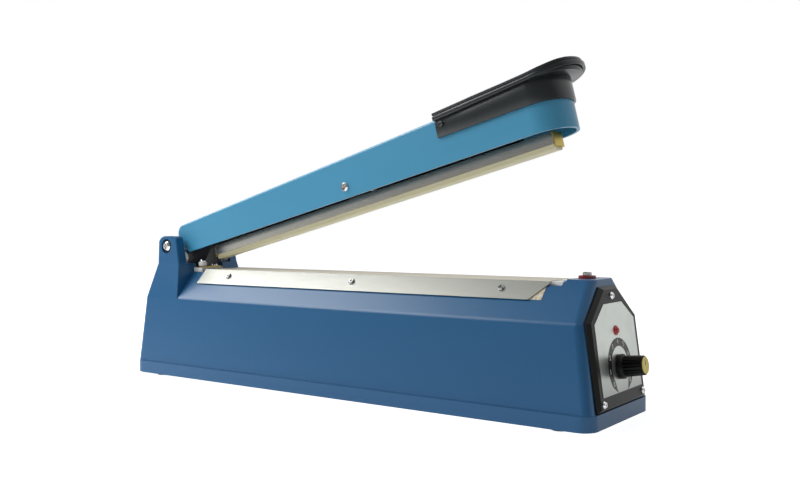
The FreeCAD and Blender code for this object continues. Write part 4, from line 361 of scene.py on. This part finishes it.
def soften(piece, segments):
    """Rounds the sharp edges of a piece in millimetres, and shades the rest smooth."""
    bpy.ops.object.modifier_add(type="BEVEL")
    bevel = piece.modifiers[-1]
    bevel.width = EDGE_ROUND
    bevel.segments = segments
    bevel.limit_method = "ANGLE"
    bevel.angle_limit = math.radians(40)
    bpy.ops.object.modifier_apply(modifier=bevel.name)
    bpy.ops.object.shade_smooth_by_angle(angle=math.radians(35))


def settle(piece, matrix, material, body):
    """Puts a finished piece where it belongs, with its place in its mesh."""
    alone()
    piece.select_set(True)
    bpy.context.view_layer.objects.active = piece
    piece.matrix_world = matrix @ piece.matrix_world
    bpy.ops.object.transform_apply(location=True, rotation=True, scale=True)
    piece.data.materials.clear()
    piece.data.materials.append(material)
    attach(piece, body)


def dial_ring():
    """Printed scale round the knob: three quarters of a ring whose ends draw out to points."""
    alone()
    bpy.ops.mesh.primitive_circle_add(vertices=RING_STEPS, radius=RING_OUTER)
    ring = bpy.context.object
    ring.name = "dial_ring"
    bpy.ops.object.mode_set(mode="EDIT")
    bpy.ops.mesh.select_all(action="SELECT")
    bpy.ops.mesh.extrude_edges_move()
    bpy.ops.transform.resize(value=(RING_INNER / RING_OUTER, RING_INNER / RING_OUTER, 1))
    bpy.ops.mesh.select_all(action="DESELECT")
    bpy.ops.object.mode_set(mode="OBJECT")
    for vertex in ring.data.vertices:
        away = abs(math.atan2(vertex.co.x, vertex.co.y))
        vertex.select = away > RING_REACH
        if RING_REACH - RING_TAPER < away <= RING_REACH:
            share = (away - RING_REACH + RING_TAPER) / RING_TAPER
            size = vertex.co.length
            middle = (RING_OUTER + RING_INNER) / 2 + (RING_OUTER - RING_INNER) * 0.3 * share
            vertex.co *= (size + (middle - size) * share) / size
    bpy.ops.object.mode_set(mode="EDIT")
    bpy.ops.mesh.select_mode(type="VERT")
    bpy.ops.mesh.delete(type="VERT")
    bpy.ops.mesh.select_all(action="SELECT")
    bpy.ops.mesh.remove_doubles(threshold=0.00002)
    bpy.ops.mesh.extrude_region_move(TRANSFORM_OT_translate={"value": (0, 0, INK_HEIGHT)})
    bpy.ops.mesh.select_all(action="SELECT")
    bpy.ops.mesh.normals_make_consistent(inside=False)
    bpy.ops.object.mode_set(mode="OBJECT")
    settle(ring, dial_matrix(PLATE_FACE), INK_BLACK, "base")


def dial_numbers():
    """Plain numbers round the scale, from the lower left to the lower right."""
    for number in range(NUMBERS):
        angle = math.radians(-NUMBER_REACH + 2 * NUMBER_REACH * number / (NUMBERS - 1))
        alone()
        bpy.ops.object.text_add()
        figure = bpy.context.object
        figure.name = f"dial_number_{number}"
        figure.data.body = str(number)
        figure.data.size = NUMBER_SIZE
        figure.data.offset = NUMBER_SWELL
        figure.data.align_x = "CENTER"
        figure.data.align_y = "CENTER"
        figure.data.extrude = INK_HEIGHT / 2
        bpy.ops.object.convert(target="MESH")
        along, up = NUMBER_RADIUS * math.sin(angle), NUMBER_RADIUS * math.cos(angle)
        place = dial_matrix(PLATE_FACE) @ Matrix.Translation((along, up, INK_HEIGHT * 1.5))
        settle(bpy.context.object, place, INK_WHITE, "base")


def cap_pointer():
    """Black wedge printed on the yellow cap, from its middle to its rim."""
    alone()
    bpy.ops.mesh.primitive_cone_add(vertices=3, radius1=WEDGE_RADIUS, radius2=0, depth=0.1 * MM,
                                    end_fill_type="NGON")
    wedge = bpy.context.object
    wedge.name = "cap_pointer"
    bpy.ops.object.mode_set(mode="EDIT")
    bpy.ops.mesh.select_all(action="SELECT")
    bpy.ops.transform.resize(value=WEDGE_STRETCH)
    bpy.ops.object.mode_set(mode="OBJECT")
    wedge.location = (0, WEDGE_OUT, INK_HEIGHT / 2)
    bpy.context.view_layer.update()
    settle(wedge, dial_matrix(CAP_FACE), INK_BLACK, "knob")


def height_at(line, across):
    """Height of a line through (place, height) pairs."""
    for (one, low), (two, high) in zip(line, line[1:]):
        if across <= two:
            return low + (high - low) * (across - one) / (two - one)
    return line[-1][1]


def grip_layer(half, tip, low, high, wall=0.0):
    """One layer of the grip, half-round in front, between two lines; a walled one is open above and below."""
    alone()
    middle = tip - half
    bpy.ops.mesh.primitive_circle_add(vertices=72, radius=half, fill_type="NOTHING" if wall else "NGON",
                                      location=(middle, 0, 0))
    bpy.ops.object.transform_apply(location=True)
    layer = bpy.context.object
    for vertex in layer.data.vertices:
        if vertex.co.x < middle - 0.01:
            vertex.co.x = GRIP_REAR
            vertex.co.y = math.copysign(half, vertex.co.y)
    bpy.ops.object.mode_set(mode="EDIT")
    bpy.ops.mesh.select_all(action="SELECT")
    bpy.ops.mesh.remove_doubles(threshold=0.01)
    extrude = bpy.ops.mesh.extrude_edges_move if wall else bpy.ops.mesh.extrude_region_move
    extrude(TRANSFORM_OT_translate={"value": (0, 0, 1)})
    for place, _ in GRIP_TOP[1:-1]:
        bpy.ops.mesh.select_all(action="SELECT")
        bpy.ops.mesh.bisect(plane_co=(place, 0, 0), plane_no=(1, 0, 0))
    bpy.ops.object.mode_set(mode="OBJECT")
    if wall:
        pick_faces(layer, lambda face: face.center.x < GRIP_REAR + 0.1)
        bpy.ops.mesh.delete(type="ONLY_FACE")
        bpy.ops.object.mode_set(mode="OBJECT")
    for vertex in layer.data.vertices:
        under = height_at(low, vertex.co.x)
        vertex.co.z = under + (height_at(high, vertex.co.x) - under) * vertex.co.z
    bpy.ops.object.mode_set(mode="EDIT")
    bpy.ops.mesh.select_all(action="SELECT")
    bpy.ops.mesh.normals_make_consistent(inside=False)
    bpy.ops.object.mode_set(mode="OBJECT")
    if wall:
        bpy.ops.object.modifier_add(type="SOLIDIFY")
        shell = layer.modifiers[-1]
        shell.thickness = wall
        shell.offset = -1
        bpy.ops.object.modifier_apply(modifier=shell.name)
    soften(layer, 2)
    return layer


def lowered(line, drop):
    """The same line, lower by a drop."""
    return [(place, height - drop) for place, height in line]


def moulded_grip():
    """Grip with a thin top plate over a wider band, a groove between them, and a skirt round the cover."""
    layers = [grip_layer(half=24.3, tip=391.5, low=lowered(GRIP_TOP, 1.9), high=GRIP_TOP),
              grip_layer(half=23.4, tip=390.5, low=COVER_TOP, high=lowered(GRIP_TOP, 1.7)),
              grip_layer(half=24.8, tip=393, low=GRIP_UNDER, high=lowered(GRIP_TOP, 2.6), wall=2.1),
              grip_layer(half=SKIRT_HALF, tip=381.6, low=SKIRT_LOW, high=lowered(GRIP_UNDER, -1.2), wall=1.5)]
    alone()
    for layer in layers:
        layer.select_set(True)
    bpy.context.view_layer.objects.active = layers[0]
    bpy.ops.object.join()
    grip = bpy.context.object
    grip.name = "moulded_grip"
    settle(grip, arm_matrix(), GRIP_BLACK, "arm")
    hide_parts("handle_grip")


def grip_screws():
    """Socket screws in the grip's sides, beside its rear corners."""
    alone()
    bpy.ops.mesh.primitive_cylinder_add(vertices=32, radius=SCREW_RADIUS, depth=SCREW_HEAD)
    near = bpy.context.object
    near.name = "grip_screw_near"
    pick_faces(near, lambda face: face.normal.z > 0.9)
    bpy.ops.mesh.inset(thickness=SOCKET_RIM)
    bpy.ops.transform.translate(value=(0, 0, -SOCKET_DEPTH))
    bpy.ops.mesh.select_all(action="DESELECT")
    bpy.ops.object.mode_set(mode="OBJECT")
    soften(near, 3)
    bpy.ops.object.duplicate()
    far = bpy.context.object
    far.name = "grip_screw_far"
    for screw, side in ((near, -1), (far, 1)):
        outwards = Matrix.Rotation(math.radians(-90 * side), 4, "X")
        seat = Matrix.Translation((SCREW_ALONG, side * (SKIRT_HALF + SCREW_HEAD / 2), SCREW_HEIGHT))
        settle(screw, arm_matrix() @ seat @ outwards, BLACKENED_STEEL, "arm")


def floor():
    """Plain white floor that keeps a soft shadow and meets the background."""
    alone()
    bpy.ops.mesh.primitive_plane_add(size=12, location=(0, 0, 0))
    ground = bpy.context.object
    ground.name = "studio_floor"
    material, shader = finish("studio_paper", "#ffffff", 0.9)
    shader.inputs["Specular IOR Level"].default_value = 0.0
    path = add_node(material, "LightPath")
    mirrored = add_node(material, "MapRange", links={
        "Value": path.outputs["Is Glossy Ray"], "To Min": 0.0, "To Max": FLOOR_MIRRORED})
    shader.inputs["Emission Color"].default_value = (1, 1, 1, 1)
    add_node(material, "MapRange", links={
        "Value": path.outputs["Is Camera Ray"], "To Min": mirrored.outputs["Result"], "To Max": FLOOR_SEEN},
        feeds={"Result": shader.inputs["Emission Strength"]})
    ground.data.materials.append(material)


def lamp(name, place, aim, size, power):
    """A square soft lamp, in metres and watts, turned to a point."""
    data = bpy.data.lights.new(name, "AREA")
    data.size = size
    data.energy = power
    item = bpy.data.objects.new(name, data)
    bpy.context.collection.objects.link(item)
    item.location = place
    item.rotation_euler = (Vector(aim) - Vector(place)).to_track_quat("-Z", "Y").to_euler()


def studio_light():
    """A white sweep behind the object, a dimmer room on the camera's side, and two soft lamps."""
    world = bpy.data.worlds.new("studio_world")
    bpy.context.scene.world = world
    world.use_nodes = True
    background = world.node_tree.nodes["Background"]
    background.inputs["Color"].default_value = (1, 1, 1, 1)
    path = add_node(world, "LightPath")
    direction = add_node(world, "TexCoord")
    # Mirrored rays find the room brighter, the more they point to the sweep behind the object
    towards = add_node(world, "VectorMath", {"operation": "DOT_PRODUCT"}, {
        0: direction.outputs["Generated"], 1: (0, 1.1, 0.45)})
    sweep = add_node(world, "MapRange", links={
        "Value": towards.outputs["Value"], "From Min": -0.13, "From Max": 0.65,
        "To Min": ROOM_MIRRORED, "To Max": 1.0})
    mirrored = add_node(world, "Math", {"operation": "MAXIMUM"}, {
        0: path.outputs["Is Glossy Ray"], 1: path.outputs["Is Transmission Ray"]})
    around = add_node(world, "MapRange", links={
        "Value": mirrored.outputs["Value"], "To Min": ROOM_LIGHT, "To Max": sweep.outputs["Result"]})
    add_node(world, "MapRange", links={
        "Value": path.outputs["Is Camera Ray"], "To Min": around.outputs["Result"], "To Max": 1.0}, feeds={
        "Result": background.inputs["Strength"]})
    aim = (-0.15, 0, 0.08)
    lamp("rear_softbox", (-0.85, -0.15, 0.75), aim, size=0.7, power=7)
    lamp("side_softbox", (-0.8, -0.75, 0.85), aim, size=0.6, power=7)


def camera():
    """The photograph's place and lens, found from the edges of the base."""
    data = bpy.data.cameras.new("photo_camera")
    data.sensor_width = SENSOR
    data.lens = SENSOR * FOCAL_PIXELS / PICTURE_WIDTH
    data.clip_start = 0.01
    item = bpy.data.objects.new("photo_camera", data)
    bpy.context.collection.objects.link(item)
    item.location = CAMERA_PLACE
    item.rotation_euler = [math.radians(angle) for angle in (90 - CAMERA_DOWN, CAMERA_LEAN, CAMERA_TURN)]
    bpy.context.scene.camera = item


dial_ring()
dial_numbers()
cap_pointer()
moulded_grip()
grip_screws()
floor()
studio_light()
camera()
bpy.context.scene.view_settings.view_transform = "Standard"
